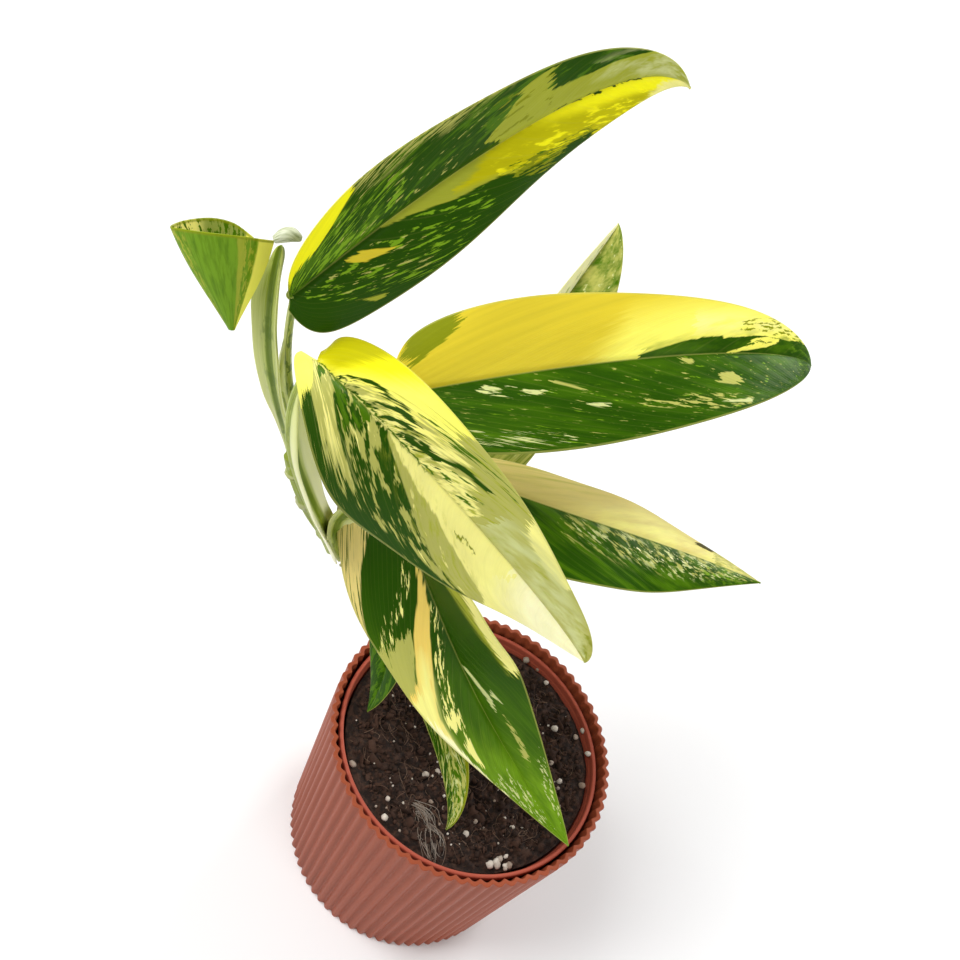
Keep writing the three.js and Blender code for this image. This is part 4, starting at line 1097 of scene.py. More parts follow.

# The colours of each blade's upper side, painted in this order over its first colour. A few layers are
# painted highlights and painted sheen rather than variegation.
PATTERNS = {
    "top_long": {"base": "deep", "layers": (
        layer("green", LEFT, MIDRIB, 0.4, (14, 3), soft=0.06),
        layer("fresh", ((0, -0.9), (0.35, -0.7)), ((0, -0.04), (0.35, -0.1)), 0.36, (34, 7), soft=0.06),
        layer("sage", ((0.2, -0.95), (0.5, -0.9)), ((0.2, -0.1), (0.5, -0.15)), 0.13, (36, 8)),
        layer("sage", ((0.22, -1.4), (0.55, -1.4)),
              ((0.22, -1.05), (0.3, -0.8), (0.45, -0.85), (0.55, -1)), 0.45, (44, 8), soft=0.1),
        layer("yellow", ((0.02, -1.4), (0.26, -1.4)),
              ((0.02, -0.9), (0.06, -0.72), (0.1, -0.68), (0.16, -0.65), (0.2, -0.74), (0.26, -0.92))),
        layer("moss",
              ((0.49, -0.22), (0.53, -0.5), (0.57, -0.85), (0.61, -0.95), (0.625, -0.6), (0.64, -0.5),
               (0.7, -0.56), (0.78, -0.76), (0.83, -0.93), (0.9, -1.3), (1, -1.4)),
              ((0.49, -0.2), (0.52, -0.1), (0.56, 0.3), (1, 0.3)), half=-1),
        # Pale streaks near the tip of the left half: partly pale variegation, partly a painted highlight on
        # the tip.
        layer("pale", ((0.7, -0.6), (0.8, -1), (1, -1.4)), ((0.7, -0.5), (0.8, -0.2), (1, 0)), 0.45,
              (12, 2), soft=0.25, half=-1),
        layer("olive", ((0.5, -0.8), (0.62, -0.9)), ((0.5, -0.1), (0.62, -0.2)), 0.2, (30, 7), soft=0.05),
        layer("moss", ((0.29, -0.3), (1, -0.3)),
              ((0.29, 0.03), (0.36, 0.15), (0.42, 0.28), (0.5, 0.4), (0.54, 0.58), (1, 1)), half=1),
        layer("mustard", ((0.42, 0.16), (0.5, 0.06), (0.56, -0.3), (1, -0.3)),
              ((0.42, 0.2), (0.5, 0.38), (0.54, 0.56), (0.6, 0.72), (0.68, 0.84), (0.7, 1.1), (1, 1.4)),
              soft=0.06, half=1),
        layer("olive", ((0.53, 0.5), (0.6, 0.52), (0.7, 0.7)), ((0.53, 0.62), (0.6, 1), (0.7, 1)), 0.55,
              (40, 8)),
        layer("green", ((0.5, 0.34), (0.6, 0.5), (0.68, 0.72)), ((0.5, 0.42), (0.6, 0.8), (0.68, 1)), 0.3,
              (46, 9)),
        layer("yellow", ((0.58, -0.3), (1, -0.3)),
              ((0.58, 0), (0.64, 0.14), (0.7, 0.3), (0.8, 0.5), (0.9, 0.8), (1, 1.2)), soft=0.14, half=1),
        layer("yellow", ((0.5, 0.2), (0.72, 0.3), (0.95, 0.5)),
              ((0.5, 0.4), (0.6, 0.7), (0.74, 1), (0.95, 1.4)), 0.3, (26, 4), soft=0.12),
        layer("cream", ((0.8, 1.3), (0.9, 0.3), (1, -0.4)), RIGHT, soft=0.25),
        layer("fresh", ((0.06, 0.1), (0.2, 0.1), (0.35, 0.18), (0.48, 0.4)),
              ((0.06, 0.2), (0.2, 0.7), (0.36, 1), (0.48, 0.7)), 0.26, (36, 8)),
        layer("sage", ((0.08, 0.1), (0.2, 0.1), (0.35, 0.16)), ((0.08, 0.2), (0.2, 0.6), (0.35, 0.95)),
              0.14, (44, 9)),
        layer("gold", ((0.205, 0.09), (0.24, 0.1), (0.29, 0.31)),
              ((0.205, 0.1), (0.24, 0.27), (0.29, 0.33))),
        layer("moss", ((0.2, 0.7), (0.25, 0.82)), ((0.2, 0.72), (0.23, 0.86), (0.25, 0.88)), 0.9),
        layer("deep", ((0.6, 0.9), (0.64, 0.76), (0.7, 0.86)), ((0.6, 1), (0.62, 1.4), (0.72, 1.4)), 0.9),
        layer("deep", ((0.63, -0.07), (0.68, -0.02), (0.82, -0.04)),
              ((0.63, -0.03), (0.68, 0.04), (0.82, 0.08)), 0.5, (50, 5)),
    )},
    "centre": {"base": "cream", "layers": (
        layer("lemon", LEFT, ((0, 0), (0.12, -0.02), (0.36, -0.5), (0.5, -1.1), (1, -1.4)), soft=0.35),
        layer("yellow", LEFT, ((0, 0), (0.1, -0.02), (0.22, -0.5), (0.32, -1.1), (1, -1.4)), soft=0.25),
        layer("mustard", LEFT, ((0, 0), (0.1, -0.1), (0.16, -0.5), (0.22, -1), (0.3, -1.4), (1, -1.4)),
              soft=0.2),
        layer("sage",
              ((0.12, -0.05), (0.2, -0.28), (0.3, -0.5), (0.38, -0.7), (0.43, -0.9), (0.47, -1.3),
               (1, -1.4)), PAST_LEFT, 0.4, (26, 3), soft=0.12, half=-1),
        layer("sage", ((0.4, -0.8), (0.44, -1.4), (1, -1.4)),
              ((0.4, -0.75), (0.47, -0.5), (0.52, -0.3), (0.54, 0.3), (1, 0.3)), soft=0.05, half=-1),
        layer("moss", ((0.2, -0.3), (0.5, -1.4), (1, -1.4)), PAST_LEFT, 0.2, (50, 4), soft=0.16, half=-1),
        layer("cream", ((0.6, -1.4), (0.75, -1.4)), ((0.6, -0.75), (0.66, -0.62), (0.75, -0.85)),
              soft=0.05),
        layer("pale", ((0.56, -0.6), (0.7, -0.9), (0.85, -0.9), (0.96, -0.6)),
              ((0.56, -0.1), (0.96, -0.05)), 0.6, (12, 2), soft=0.3, half=-1),
        layer("olive", ((0.9, -1.4), (1, -1.4)), ((0.9, -0.8), (0.96, -0.3), (1, 0)), 0.4, (20, 3),
              soft=0.35, half=-1),
        layer("green", ((0.3, -0.55), (0.4, -0.75), (0.5, -1), (0.57, -1.1)),
              ((0.3, -0.44), (0.4, -0.58), (0.5, -0.82), (0.57, -0.9)), 0.3, (36, 5)),
        layer("deep", ((0.13, -0.15), (0.2, -0.4), (0.3, -0.48), (0.4, -0.4)),
              ((0.13, -0.05), (0.3, -0.04), (0.4, -0.12)), 0.46, (30, 3)),
        layer("deep", ((0.33, -0.18), (0.38, -0.28), (0.42, -0.45), (0.45, -0.58), (0.5, -0.64)),
              ((0.33, -0.08), (0.37, -0.18), (0.4, -0.3), (0.44, -0.46), (0.5, -0.57)), 0.84, (28, 3)),
        layer("green", ((0.43, -0.35), (0.48, -0.48), (0.53, -0.48)),
              ((0.43, -0.12), (0.48, -0.1), (0.53, -0.25)), 0.28, (40, 4)),
        layer("green", ((0.01, -0.05), (0.42, -0.05)), ((0.01, -0.01), (0.42, -0.01)), 0.8),
        layer("sage",
              ((0.01, 0), (0.3, 0.02), (0.4, 0.18), (0.5, 0.3), (0.6, 0.5), (0.67, 0.68), (0.72, 0.9),
               (0.75, 1.2)), RIGHT, half=1),
        layer("cream", ((0.05, 0), (0.3, 0.1), (0.5, 0.4), (0.72, 1)),
              ((0.05, 0.4), (0.3, 0.8), (0.72, 1.2)), 0.14, (36, 4), soft=0.06, half=1),
        layer("deep",
              ((0.07, 0), (0.3, 0), (0.32, 0.1), (0.4, 0.3), (0.5, 0.55), (0.56, 0.74), (0.65, 0.9),
               (0.72, 1.1)),
              ((0.07, 0.02), (0.12, 0.18), (0.16, 0.36), (0.21, 0.52), (0.3, 0.68), (0.36, 1),
               (0.72, 1.4)), 0.6, (22, 4), half=1),
        layer("sage", ((0.2, 0), (0.4, 0.3), (0.6, 0.8)), ((0.2, 0.5), (0.36, 0.85), (0.6, 0.95)), 0.14,
              (26, 4), half=1),
        layer("moss", ((0.3, 0.02), (0.4, 0.18), (0.5, 0.3), (0.6, 0.5), (0.7, 0.8)),
              ((0.3, 0.1), (0.5, 0.55), (0.7, 1.2)), 0.25, (60, 6), soft=0.2, half=1),
        layer("green", ((0.07, 0), (0.25, 0)), ((0.07, 0.02), (0.12, 0.18), (0.2, 0.45), (0.25, 0.3)),
              0.5, (20, 5), soft=0.06, half=1),
        layer("deep", ((0.09, 0.7), (0.2, 0.8), (0.3, 0.84), (0.5, 0.83), (0.6, 0.9), (0.72, 1)), RIGHT,
              0.9, (40, 5)),
        layer("deep", ((0.2, 0.7), (0.42, 0.7)), ((0.2, 0.78), (0.42, 0.86)), 0.6, (30, 6)),
        layer("sage", *CENTRE_SHOULDER, half=1),
        layer("cream", *CENTRE_SHOULDER, 0.38, (24, 4), soft=0.12, half=1),
        layer("lemon", ((0, 0.3), (0.04, 0.36), (0.08, 0.56), (0.1, 0.7)), RIGHT),
        layer("green", ((0.04, 0.06), (0.07, 0.08), (0.09, 0.28)),
              ((0.04, 0.14), (0.07, 0.36), (0.09, 0.38)), 0.75),
        layer("olive", ((0.55, 0.26), (0.6, 0.26)), ((0.55, 0.3), (0.6, 0.3)), 0.8),
        layer("ivory", ((0.68, -0.3), (1, -0.3)), ((0.68, 0.1), (0.85, 1.2), (1, 1.4)), soft=0.5, half=1),
    )},
    "right_large": {"base": "deep", "layers": (
        layer("green", LEFT, RIGHT, 0.2, (9, 2), soft=0.4),
        layer("fresh", MIDRIB, RIGHT, 0.07, (44, 9), soft=0.1),
        layer("sage", MIDRIB, RIGHT, 0.07, (50, 12), soft=0.1),
        layer("pale", ((0.22, 0.08), (0.33, 0.2)), ((0.22, 0.25), (0.33, 0.34)), 0.3, (46, 9)),
        layer("pale", ((0.18, 0.7), (0.36, 0.8)), ((0.18, 0.9), (0.36, 1)), 0.25, (46, 9)),
        layer("sage", ((0.5, 0.5), (0.64, 0.65), (0.72, 0.8)), ((0.5, 0.65), (0.64, 0.9), (0.72, 0.98)),
              0.35, (40, 8)),
        layer("gold", LEFT, PAST_LEFT, half=-1),
        layer("lemon", ((0.34, 0.8), (0.5, -0.6), (0.6, -0.85), (0.75, -1.2), (1, -1.4)), PAST_LEFT,
              soft=0.4, half=-1),
        layer("cream", ((0.62, -0.7), (0.75, -0.85), (0.92, -1.2)),
              ((0.62, -0.4), (0.75, -0.5), (0.92, -1)), 0.7, (9, 2), soft=0.2),
        layer("deep",
              ((0.5, -0.04), (0.55, -0.14), (0.6, -0.25), (0.7, -0.34), (0.75, -0.4), (0.85, -0.52),
               (0.9, -0.8), (0.94, -1.2), (1, -1.4)), PAST_LEFT, half=-1),
        layer("green", ((0.5, -0.1), (0.7, -0.3), (0.9, -0.8), (1, -1.4)), PAST_LEFT, 0.35, (14, 3),
              soft=0.3, half=-1),
        layer("olive", ((0.05, -1.4), (0.185, -1.4)),
              ((0.05, -0.72), (0.09, -0.42), (0.13, -0.58), (0.185, -0.8)), half=-1),
        layer("olive", ((0.7, -0.62), (0.8, -1), (0.9, -1.1)), ((0.7, -0.54), (0.8, -0.52), (0.9, -0.75)),
              0.35, (40, 9)),
        layer("lemon", ((0.69, -0.04), (0.72, -0.12), (0.745, -0.34), (0.78, -0.44), (0.82, -0.45)),
              ((0.69, 0), (0.74, -0.08), (0.79, -0.18), (0.82, -0.38)), 0.8, (44, 8)),
        layer("fresh", ((0.88, -1.2), (1, -1.4)), ((0.88, 0.3), (1, 1.4)), 0.12, (24, 4), soft=0.3),
        layer("sage", ((0.36, 0.18), (0.41, 0.33)), ((0.36, 0.22), (0.41, 0.37)), 0.95),
        layer("pale", ((0.41, 0.51), (0.44, 0.54)), ((0.41, 0.55), (0.44, 0.62)), 0.95),
        layer("sage", ((0.575, 0.02), (0.61, 0.08)), ((0.575, 0.1), (0.61, 0.15)), 0.9),
        layer("sage", ((0.64, 0.46), (0.66, 0.34), (0.7, 0.38)),
              ((0.64, 0.48), (0.68, 0.57), (0.7, 0.54)), 0.9),
        layer("pale", ((0.66, 0.8), (0.72, 0.87)), ((0.66, 0.84), (0.72, 0.95)), 0.9),
    )},
    "lower": {"base": "deep", "layers": (
        # Green and fresh green brighten both halves towards the tip: a painted highlight on the glossy tip.
        layer("green", ((0.3, 1.4), (0.7, -1.4), (1, -1.4)), RIGHT, 0.8, (9, 2), soft=0.8),
        layer("fresh", ((0.6, 1.4), (0.92, -1.4), (1, -1.4)), RIGHT, 0.75, (12, 3), soft=0.9),
        layer("pale", ((0.8, -0.95), (0.95, -0.9)), ((0.8, -0.75), (0.9, -0.55), (0.95, -0.6)), 0.35,
              (40, 9)),
        layer("pale", ((0.8, 0.2), (0.95, 0.2)), ((0.8, 0.95), (0.95, 0.9)), 0.3, (30, 8)),
        layer("moss", ((0.1, -1.4), (0.52, -1.4)),
              ((0.1, -0.5), (0.2, -0.58), (0.3, -0.66), (0.4, -0.74), (0.52, -0.8)), 0.85, (14, 4),
              soft=0.08),
        layer("cream", ((0.1, -1.4), (0.512, -1.4)),
              ((0.1, -0.85), (0.3, -0.81), (0.45, -0.79), (0.512, -0.84))),
        layer("pale", ((0.5, -0.1), (0.6, -0.28), (0.625, -0.28)),
              ((0.5, -0.05), (0.6, -0.17), (0.625, -0.18)), 0.8, (40, 5)),
        layer("pale", ((0.58, -0.36), (0.625, -0.46)), ((0.58, -0.32), (0.625, -0.36)), 0.9),
        layer("sage", ((0.67, -0.4), (0.76, -0.52), (0.81, -0.5)),
              ((0.67, -0.32), (0.76, -0.4), (0.81, -0.32)), 0.6, (40, 6)),
        layer("sage", ((0.35, 0.46), (0.4, 0.52), (0.54, 0.9)),
              ((0.35, 0.5), (0.41, 0.7), (0.4, 1.4), (0.54, 1.4)), 0.9, (14, 4)),
        layer("sage", ((0.36, 0.5), (0.54, 0.9)), ((0.36, 0.6), (0.4, 1.4), (0.54, 1.4)), 0.9, (14, 4)),
        layer("tan", ((0.04, 0.45), (0.1, 0.6), (0.16, 0.76), (0.25, 0.9), (0.36, 1.05)), RIGHT, 0.72,
              (30, 6)),
        layer("cream", ((0.1, 0.1), (0.2, 0.2), (0.26, 0.34), (0.32, 0.6), (0.38, 0.85)),
              ((0.1, 0.14), (0.2, 0.3), (0.26, 0.52), (0.32, 0.8), (0.38, 0.95)), 0.28, (40, 10)),
        layer("cream", ((0.28, 0.0), (0.4, 0.08), (0.5, 0.25), (0.6, 0.4), (0.64, 0.48)),
              ((0.28, 0.08), (0.4, 0.24), (0.5, 0.44), (0.6, 0.7), (0.64, 0.75)), 0.34, (44, 8)),
        layer("sand",
              ((0.13, 0.02), (0.2, 0.04), (0.3, 0.12), (0.4, 0.28), (0.45, 0.38), (0.5, 0.5),
               (0.55, 0.64), (0.6, 0.79), (0.66, 0.88), (0.78, 1.1)),
              ((0.13, 0.04), (0.2, 0.1), (0.25, 0.18), (0.3, 0.3), (0.35, 0.42), (0.42, 0.56),
               (0.5, 0.76), (0.55, 1.3), (0.78, 1.4))),
        layer("cream",
              ((0.4, 0.42), (0.45, 0.45), (0.5, 0.52), (0.55, 0.64), (0.6, 0.79), (0.66, 0.88),
               (0.78, 1.1)), ((0.4, 0.43), (0.46, 0.6), (0.52, 0.76), (0.56, 1.3), (0.78, 1.4)), 0.85,
              (9, 2), soft=0.1),
        layer("cream", ((0.605, 0.48), (0.655, 0.5)), ((0.605, 0.72), (0.63, 0.77), (0.655, 0.74))),
        layer("cream", ((0.68, 0.58), (0.71, 0.66), (0.76, 0.8)),
              ((0.68, 0.64), (0.71, 0.84), (0.76, 0.88)), 0.9),
        layer("ivory", ((0.6, 0.95), (0.66, 0.9), (0.75, 0.97), (0.86, 1)), RIGHT),
    )},
    "right_lower": {"base": "deep", "layers": (
        layer("green", PAST_RIGHT, RIGHT, 0.4, (12, 2), soft=0.25, half=1),
        # Pale, sage and ivory streaks over the right half: partly pale variegation, partly painted sheen and
        # a painted reflection band.
        layer("pale", ((0.4, 0.1), (0.5, 0.06), (0.95, 0.02)),
              ((0.4, 0.3), (0.6, 0.5), (0.8, 0.75), (0.95, 0.6)), 0.28, (40, 7), soft=0.1),
        layer("sage", ((0.35, 0.05), (0.6, 0.02), (0.98, 0.02)), ((0.35, 0.4), (0.6, 0.6), (0.98, 0.7)),
              0.26, (34, 6), soft=0.12),
        layer("ivory", ((0.55, 0.1), (0.85, 0.05)), ((0.55, 0.3), (0.7, 0.5), (0.85, 0.5)), 0.1, (50, 9),
              soft=0.06),
        layer("fresh", ((0.82, 0.1), (1, 0)), ((0.82, 0.9), (1, 1.2)), 0.2, (30, 5), soft=0.2),
        layer("tan", LEFT, ((0, 0.3), (0.9, 0.3), (0.96, -0.5), (1, -1.4)), half=-1),
        layer("moss", LEFT, ((0, 0.3), (0.2, 0.2), (0.6, -1.4), (1, -1.4)), 0.1, (9, 2), soft=0.6,
              half=-1),
        layer("cream", ((0.1, 1.2), (0.6, -0.8), (1, -0.9)), PAST_LEFT, 0.75, (9, 2), soft=0.6, half=-1),
        layer("sage", ((0.86, -1.4), (1, -1.4)), ((0.86, 0.3), (1, 0.3)), 0.6, (20, 3), soft=0.3,
              half=-1),
        layer("bark", ((0.8, -0.64), (0.83, -1), (0.88, -1.1)),
              ((0.8, -0.6), (0.84, -0.64), (0.88, -0.98)), 0.9, (20, 4)),
    )},
    "rear": {"base": "green", "layers": (
        # Sage and pale streaks over the right half's green: partly painted sheen, the greyed look of the
        # glossy blade seen at a grazing angle.
        layer("sage", PAST_RIGHT, RIGHT, 0.55, (14, 3), soft=0.4, half=1),
        layer("pale", PAST_RIGHT, RIGHT, 0.1, (30, 7), soft=0.1, half=1),
        layer("ivory", LEFT, PAST_LEFT, half=-1),
        layer("pale", ((0.1, -0.6), (0.9, -0.6)), ((0.1, -0.04), (0.9, -0.04)), 0.3, (20, 3), soft=0.08),
    )},
    "low_left": {"base": "deep", "layers": (
        layer("green", LEFT, RIGHT, 0.4, (12, 2), soft=0.06),
    )},
    "low_right": {"base": "green", "layers": (
        layer("sage", LEFT, RIGHT, 0.5, (20, 4), soft=0.08),
        layer("pale", LEFT, RIGHT, 0.2, (20, 4), soft=0.08),
        layer("deep", ((0, 0.4), (1, 0.4)), RIGHT, 0.6, (14, 3), soft=0.05),
        layer("olive", LEFT, ((0, -0.8), (1, -0.8)), 0.8),
    )},
}


def paints(look):
    """The blades' colours by name."""
    names = (
        "deep", "green", "fresh", "olive", "moss", "sage", "pale", "cream", "ivory",
        "lemon", "yellow", "gold", "mustard", "sand", "tan", "bark",
    )
    return {name: getattr(look, name) for name in names}


def leaf_shader(name, look, coat=0.04):
    """A glossy, slightly see-through skin for a blade."""
    return Shader(
        name, Coat_Weight=coat, Coat_Roughness=0.12, Specular_IOR_Level=0.06,
        Subsurface_Weight=look.glow, Subsurface_Scale=1.0,
        Subsurface_Radius=(0.7 * MM, 0.6 * MM, 0.2 * MM), Specular_Tint=(1, 1, 0.6, 1),
    )


def closed(line):
    """A line whose ends inside the blade are lifted off it, so that no layer shows past them."""
    first, last = line[0][0], line[-1][0]
    start = ((first - LINE_LIFT, LINE_LIMIT),) if first > LINE_LIFT else ()
    stop = ((last + LINE_LIFT, LINE_LIMIT),) if last < 1 - LINE_LIFT else ()
    return (*start, *line, *stop)


def streaks(shader, w, a, side, grain, seed, cover, soft=0.03):
    """1 on a given share of the area, in streaks along the side veins: noise above a level, which
    follows from the share as if the noise had a normal distribution."""
    place = shader.vector(w * grain[0], a * grain[1] + side * 9.0, seed)
    level = 0.5 - NOISE_SPREAD * NormalDist().inv_cdf(cover)
    soft = max(0.03, soft * 0.5)
    return shader.noise(place, 1.0, 3.0, 0.62).step(level - soft, level + soft)


def blade_shader(name, leaf, pattern, look):
    """A variegated blade. Every layer lies between two lines over its length, whose edges are
    dragged along the side veins by noise, and shows in full or as streaks along the veins. Then
    come the side veins, the midrib and the margin as thin lines, and the duller underside."""
    paint = paints(look)
    reach, power = leaf["sweep"]
    seed = float(sum(map(ord, name)) % 50)
    shader = leaf_shader(name, look)
    u, v, face = shader.place()
    a = abs(v)
    side = v.sign()
    run = (a ** power) * reach
    w = (u - run) / (1 - run)
    drag = shader.noise(shader.vector(w * 30.0, a * 2.0 + side * 7.0, seed + 0.5), 1.0, 3.0, 0.7) - 0.5
    drag = drag * 0.3
    along, across = u + drag * reach * 0.8, v + side * drag
    colour = paint[pattern["base"]]
    for index, spot in enumerate(pattern["layers"]):
        soft = spot["soft"] + 0.001
        inside = (across - shader.line(along, closed(spot["low"]))).step(-soft, soft)
        inside = inside * (shader.line(along, spot["high"]) - across).step(-soft, soft)
        if spot["half"]:
            inside = inside * (v * float(spot["half"])).step(-0.004, 0.004)
        if spot["cover"] < 1:
            grain, cover = spot["grain"], spot["cover"]
            inside = inside * streaks(shader, w, a, side, grain, seed + index, cover, soft)
        colour = shader.blend(inside, colour, paint[spot["paint"]])
    tone = shader.noise(shader.vector(w * 14.0, a * 2.0 + side * 3.0, seed), 1.0)
    fine = shader.noise(shader.vector(w * 260.0, a * 6.0 + side * 3.0, seed), 1.0)
    tone = tone * 0.25 + fine * 0.12 + 0.82
    colour = shader.scaled(colour, tone)
    veins = (w * (2 * math.pi * look.veins)).sine().step(0.9, 1.0) * a.step(0.02, 0.1)
    colour = shader.blend(veins * 0.05, colour, paint["sage"])
    colour = shader.blend(a.step(0.03, 0.012) * 0.35, colour, paint["sage"])
    colour = shader.blend(a.step(0.975, 0.988) * 0.45, colour, paint["sage"])
    colour = shader.blend(face.step(0.2, -0.2) * 0.45, colour, paint["sage"])
    shader.feed("Base Color", colour)
    shader.feed("Roughness", fine * 0.14 + (look.roughness - 0.05))
    ripple = (w * (2 * math.pi * look.veins * 4)).sine() * 0.25 + fine
    shader.bump(ripple, 0.12 * MM, 0.35)
    return shader


def rolled_shader(look):
    """The youngest blade: a pale yellow sector beside the petiole, a bright green front with a
    paler band and mottled stripes along its length, and a mottled cream inside that is green on
    the side where it closes."""
    paint = paints(look)
    shader = leaf_shader("young_blade", look, 0.16)
    u, turn, face = shader.place()
    streak = shader.noise(shader.vector(turn * 40.0, u * 3.0, 3.0), 1.0, 3.0, 0.6)
    edge = turn + (streak - 0.5) * 0.03
    colour = shader.blend(streak.step(0.2, 0.6) * 0.8, paint["green"], paint["fresh"])
    mottled = streaks(shader, turn, u, 0 * u, (60, 9), 9.0, 0.42)
    mottled = mottled * (edge.step(0.42, 0.48) + edge.step(0.24, 0.2))
    colour = shader.blend(mottled, colour, paint["moss"])
    band = edge.step(0.19, 0.2) * edge.step(0.235, 0.225)
    colour = shader.blend(band * 0.8, colour, paint["moss"])
    colour = shader.blend(edge.step(0.125, 0.105), colour, paint["lemon"])
    inner = shader.blend(mottled + edge.step(0.7, 0.76) * 0.75, paint["cream"], paint["green"])
    inner = shader.blend(edge.step(0.95, 0.97), inner, paint["lemon"])
    colour = shader.blend(face.step(0.2, -0.2), colour, inner)
    colour = shader.blend(u.step(0.03, 0.012) * 0.7, colour, paint["olive"])
    shader.feed("Base Color", colour)
    shader.feed("Roughness", streak * 0.15 + (look.roughness - 0.14))
    shader.bump(streak, 0.1 * MM, 0.3)
    return shader


def stalk_shader(name, specular, glow, radius=(MM, MM, 0.4 * MM)):
    """A softly glowing skin for the stem, a petiole or the shoot."""
    return Shader(
        name, Specular_IOR_Level=specular, Subsurface_Weight=glow, Subsurface_Radius=radius,
        Subsurface_Scale=1.0,
    )


def petiole_shader(name, look, pale):
    """A petiole: olive green with dark blotches and a dark stripe down its channel, and wings
    that are as pale as the share says, the palest near the stem."""
    shader = stalk_shader(name, 0.2, 0.2)
    u, height, wing = shader.place()
    fine = shader.noise(shader.vector(u * 5.0, height * 9.0, wing * 7.0), 1.0, 3.0)
    colour = shader.blend(fine.step(0.35, 0.65) * 0.4, look.petiole_colour, look.wing_colour)
    blotch = shader.noise(shader.vector(u * 16.0, height * 1.5, wing * 2.0), 1.0, 2.0)
    blotch = blotch.step(0.5, 0.58) * wing.step(0.8, 0.3) * (0.9 - pale * 0.6)
    colour = shader.blend(blotch, colour, look.stripe_colour)
    stripe = height.step(-0.2, 0.1) * wing.step(0.2, 0.05) * u.step(0.15, 0.3)
    colour = shader.blend(stripe * 0.8, colour, look.stripe_colour)
    colour = shader.blend(wing.step(0.2, 0.9) * (0.55 + pale * 0.4), colour, look.wing_colour)
    sheath = u.step(0.9, 0.1) * wing.step(0.1, 0.5) * pale
    colour = shader.blend(sheath, colour, look.sheath_colour)
    shader.feed("Base Color", colour)
    shader.feed("Roughness", fine * 0.2 + 0.32)
    shader.bump(fine, 0.15 * MM, 0.4)
    return shader


def stem_shader(look):
    """The stem: olive, streaked with paler lines, paler at the nodes and brown on the stubs."""
    shader = stalk_shader("stem_skin", 0.35, 0.15)
    u, turn, stub = shader.place()
    around = (turn * (2 * math.pi)).sine()
    streak = shader.noise(shader.vector(u * 12.0, around * 4.0, 2.0), 1.0, 3.0, 0.6)
    colour = shader.blend(streak.step(0.4, 0.6), look.stem_colour, look.petiole_colour)
    colour = shader.blend(streak.step(0.58, 0.66) * 0.6, colour, look.node_colour)
    for at in STEM["nodes"]:
        ring = abs(u - (at + 0.004)).step(0.009, 0.003)
        colour = shader.blend(ring * 0.7, colour, look.node_colour)
    speck = shader.noise(shader.millimetres(), 1.6, 3.0)
    root = shader.blend(speck.step(0.4, 0.6), look.root_colour, look.node_colour)
    colour = shader.blend(stub, colour, root)
    shader.feed("Base Color", colour)
    shader.feed("Roughness", streak * 0.25 + 0.35)
    shader.bump(streak + speck * 0.5, 0.2 * MM, 0.5)
    return shader


def shoot_shader(look):
    """The shoot's papery sheath: whitish, with greyer lines along it."""
    shader = stalk_shader("papery_sheath", 0.3, 0.4, (MM, MM, MM))
    u, turn, _ = shader.place()
    line = shader.noise(shader.vector(u * 2.0, turn * 26.0, 1.0), 1.0, 3.0)
    colour = shader.blend(line.step(0.4, 0.65), look.shoot_colour, look.shoot_line)
    shader.feed("Base Color", colour)
    shader.feed("Roughness", line * 0.3 + 0.3)
    shader.bump(line, 0.2 * MM, 0.5)
    return shader


def plastic_shader(name, tint, roughness, low, high):
    """Moulded plastic: its tone drifts a little from low to high, with faint scuffs."""
    shader = Shader(name, Specular_IOR_Level=0.15)
    place = shader.millimetres()
    drift = shader.noise(place, 0.03, 2.0)
    scuff = shader.noise(place, 0.9, 4.0, 0.7)
    tone = drift * (high - low) + scuff * 0.06 + (low - 0.03)
    shader.feed("Base Color", shader.scaled(tuple(tint), tone))
    shader.feed("Roughness", scuff * 0.14 + (roughness - 0.07))
    shader.bump(shader.noise(place, 3.5, 2.0), 0.05 * MM, 0.25)
    return shader


def soil_shader(look):
    """Damp peat: dark, with browner crumbs and a rough grain."""
    shader = Shader("peat", Specular_IOR_Level=0.25)
    place = shader.millimetres()
    coarse = shader.noise(place, 0.35, 3.0, 0.6)
    fine = shader.noise(place, 1.7, 4.0, 0.7)
    colour = shader.blend(coarse.step(0.4, 0.65) * 0.7, look.dark, look.light)
    colour = shader.blend(fine.step(0.55, 0.7) * 0.8, colour, look.light)
    shader.feed("Base Color", colour)
    shader.feed("Roughness", fine * 0.3 + 0.6)
    shader.bump(fine + coarse, 0.6 * MM, 0.8)
    return shader


def grain_shader(name, dark, light):
    """Loose grains: each has its own tone between two colours, and a fine speckle."""
    shader = Shader(name, Specular_IOR_Level=0.25)
    tone = shader.place()[0]
    speck = shader.noise(shader.millimetres(), 2.5, 3.0, 0.6)
    mix = (tone * 0.8 + speck * 0.5 - 0.15).most(0.0).least(1.0)
    shader.feed("Base Color", shader.blend(mix, dark, light))
    shader.feed("Roughness", speck * 0.2 + 0.75)
    shader.bump(speck, 0.3 * MM, 0.5)
    return shader


class MONSTERA_OT_cover_pot(Operator):
    """Builds the ribbed cover pot"""

    bl_idname = "monstera.cover_pot"
    bl_label = "Cover pot"

    def execute(self, context):
        look = context.scene.monstera_pots
        piece = mesh_object("ribbed_cover_pot", [cover_pot_shell(look)])
        shader = plastic_shader("cover_pot_plastic", look.cover_colour, 0.42, 0.92, 1.08)
        dress(piece, shader, "cover_pot", "cover_pot")
        return {"FINISHED"}


class MONSTERA_OT_grow_pot(Operator):
    """Builds the grow pot inside the cover pot"""

    bl_idname = "monstera.grow_pot"
    bl_label = "Grow pot"

    def execute(self, context):
        look = context.scene.monstera_pots
        piece = mesh_object("plain_grow_pot", [grow_pot_shell(look)])
        shader = plastic_shader("grow_pot_plastic", look.inner_colour, 0.4, 0.9, 1.05)
        dress(piece, shader, "grow_pot", "grow_pot")
        return {"FINISHED"}


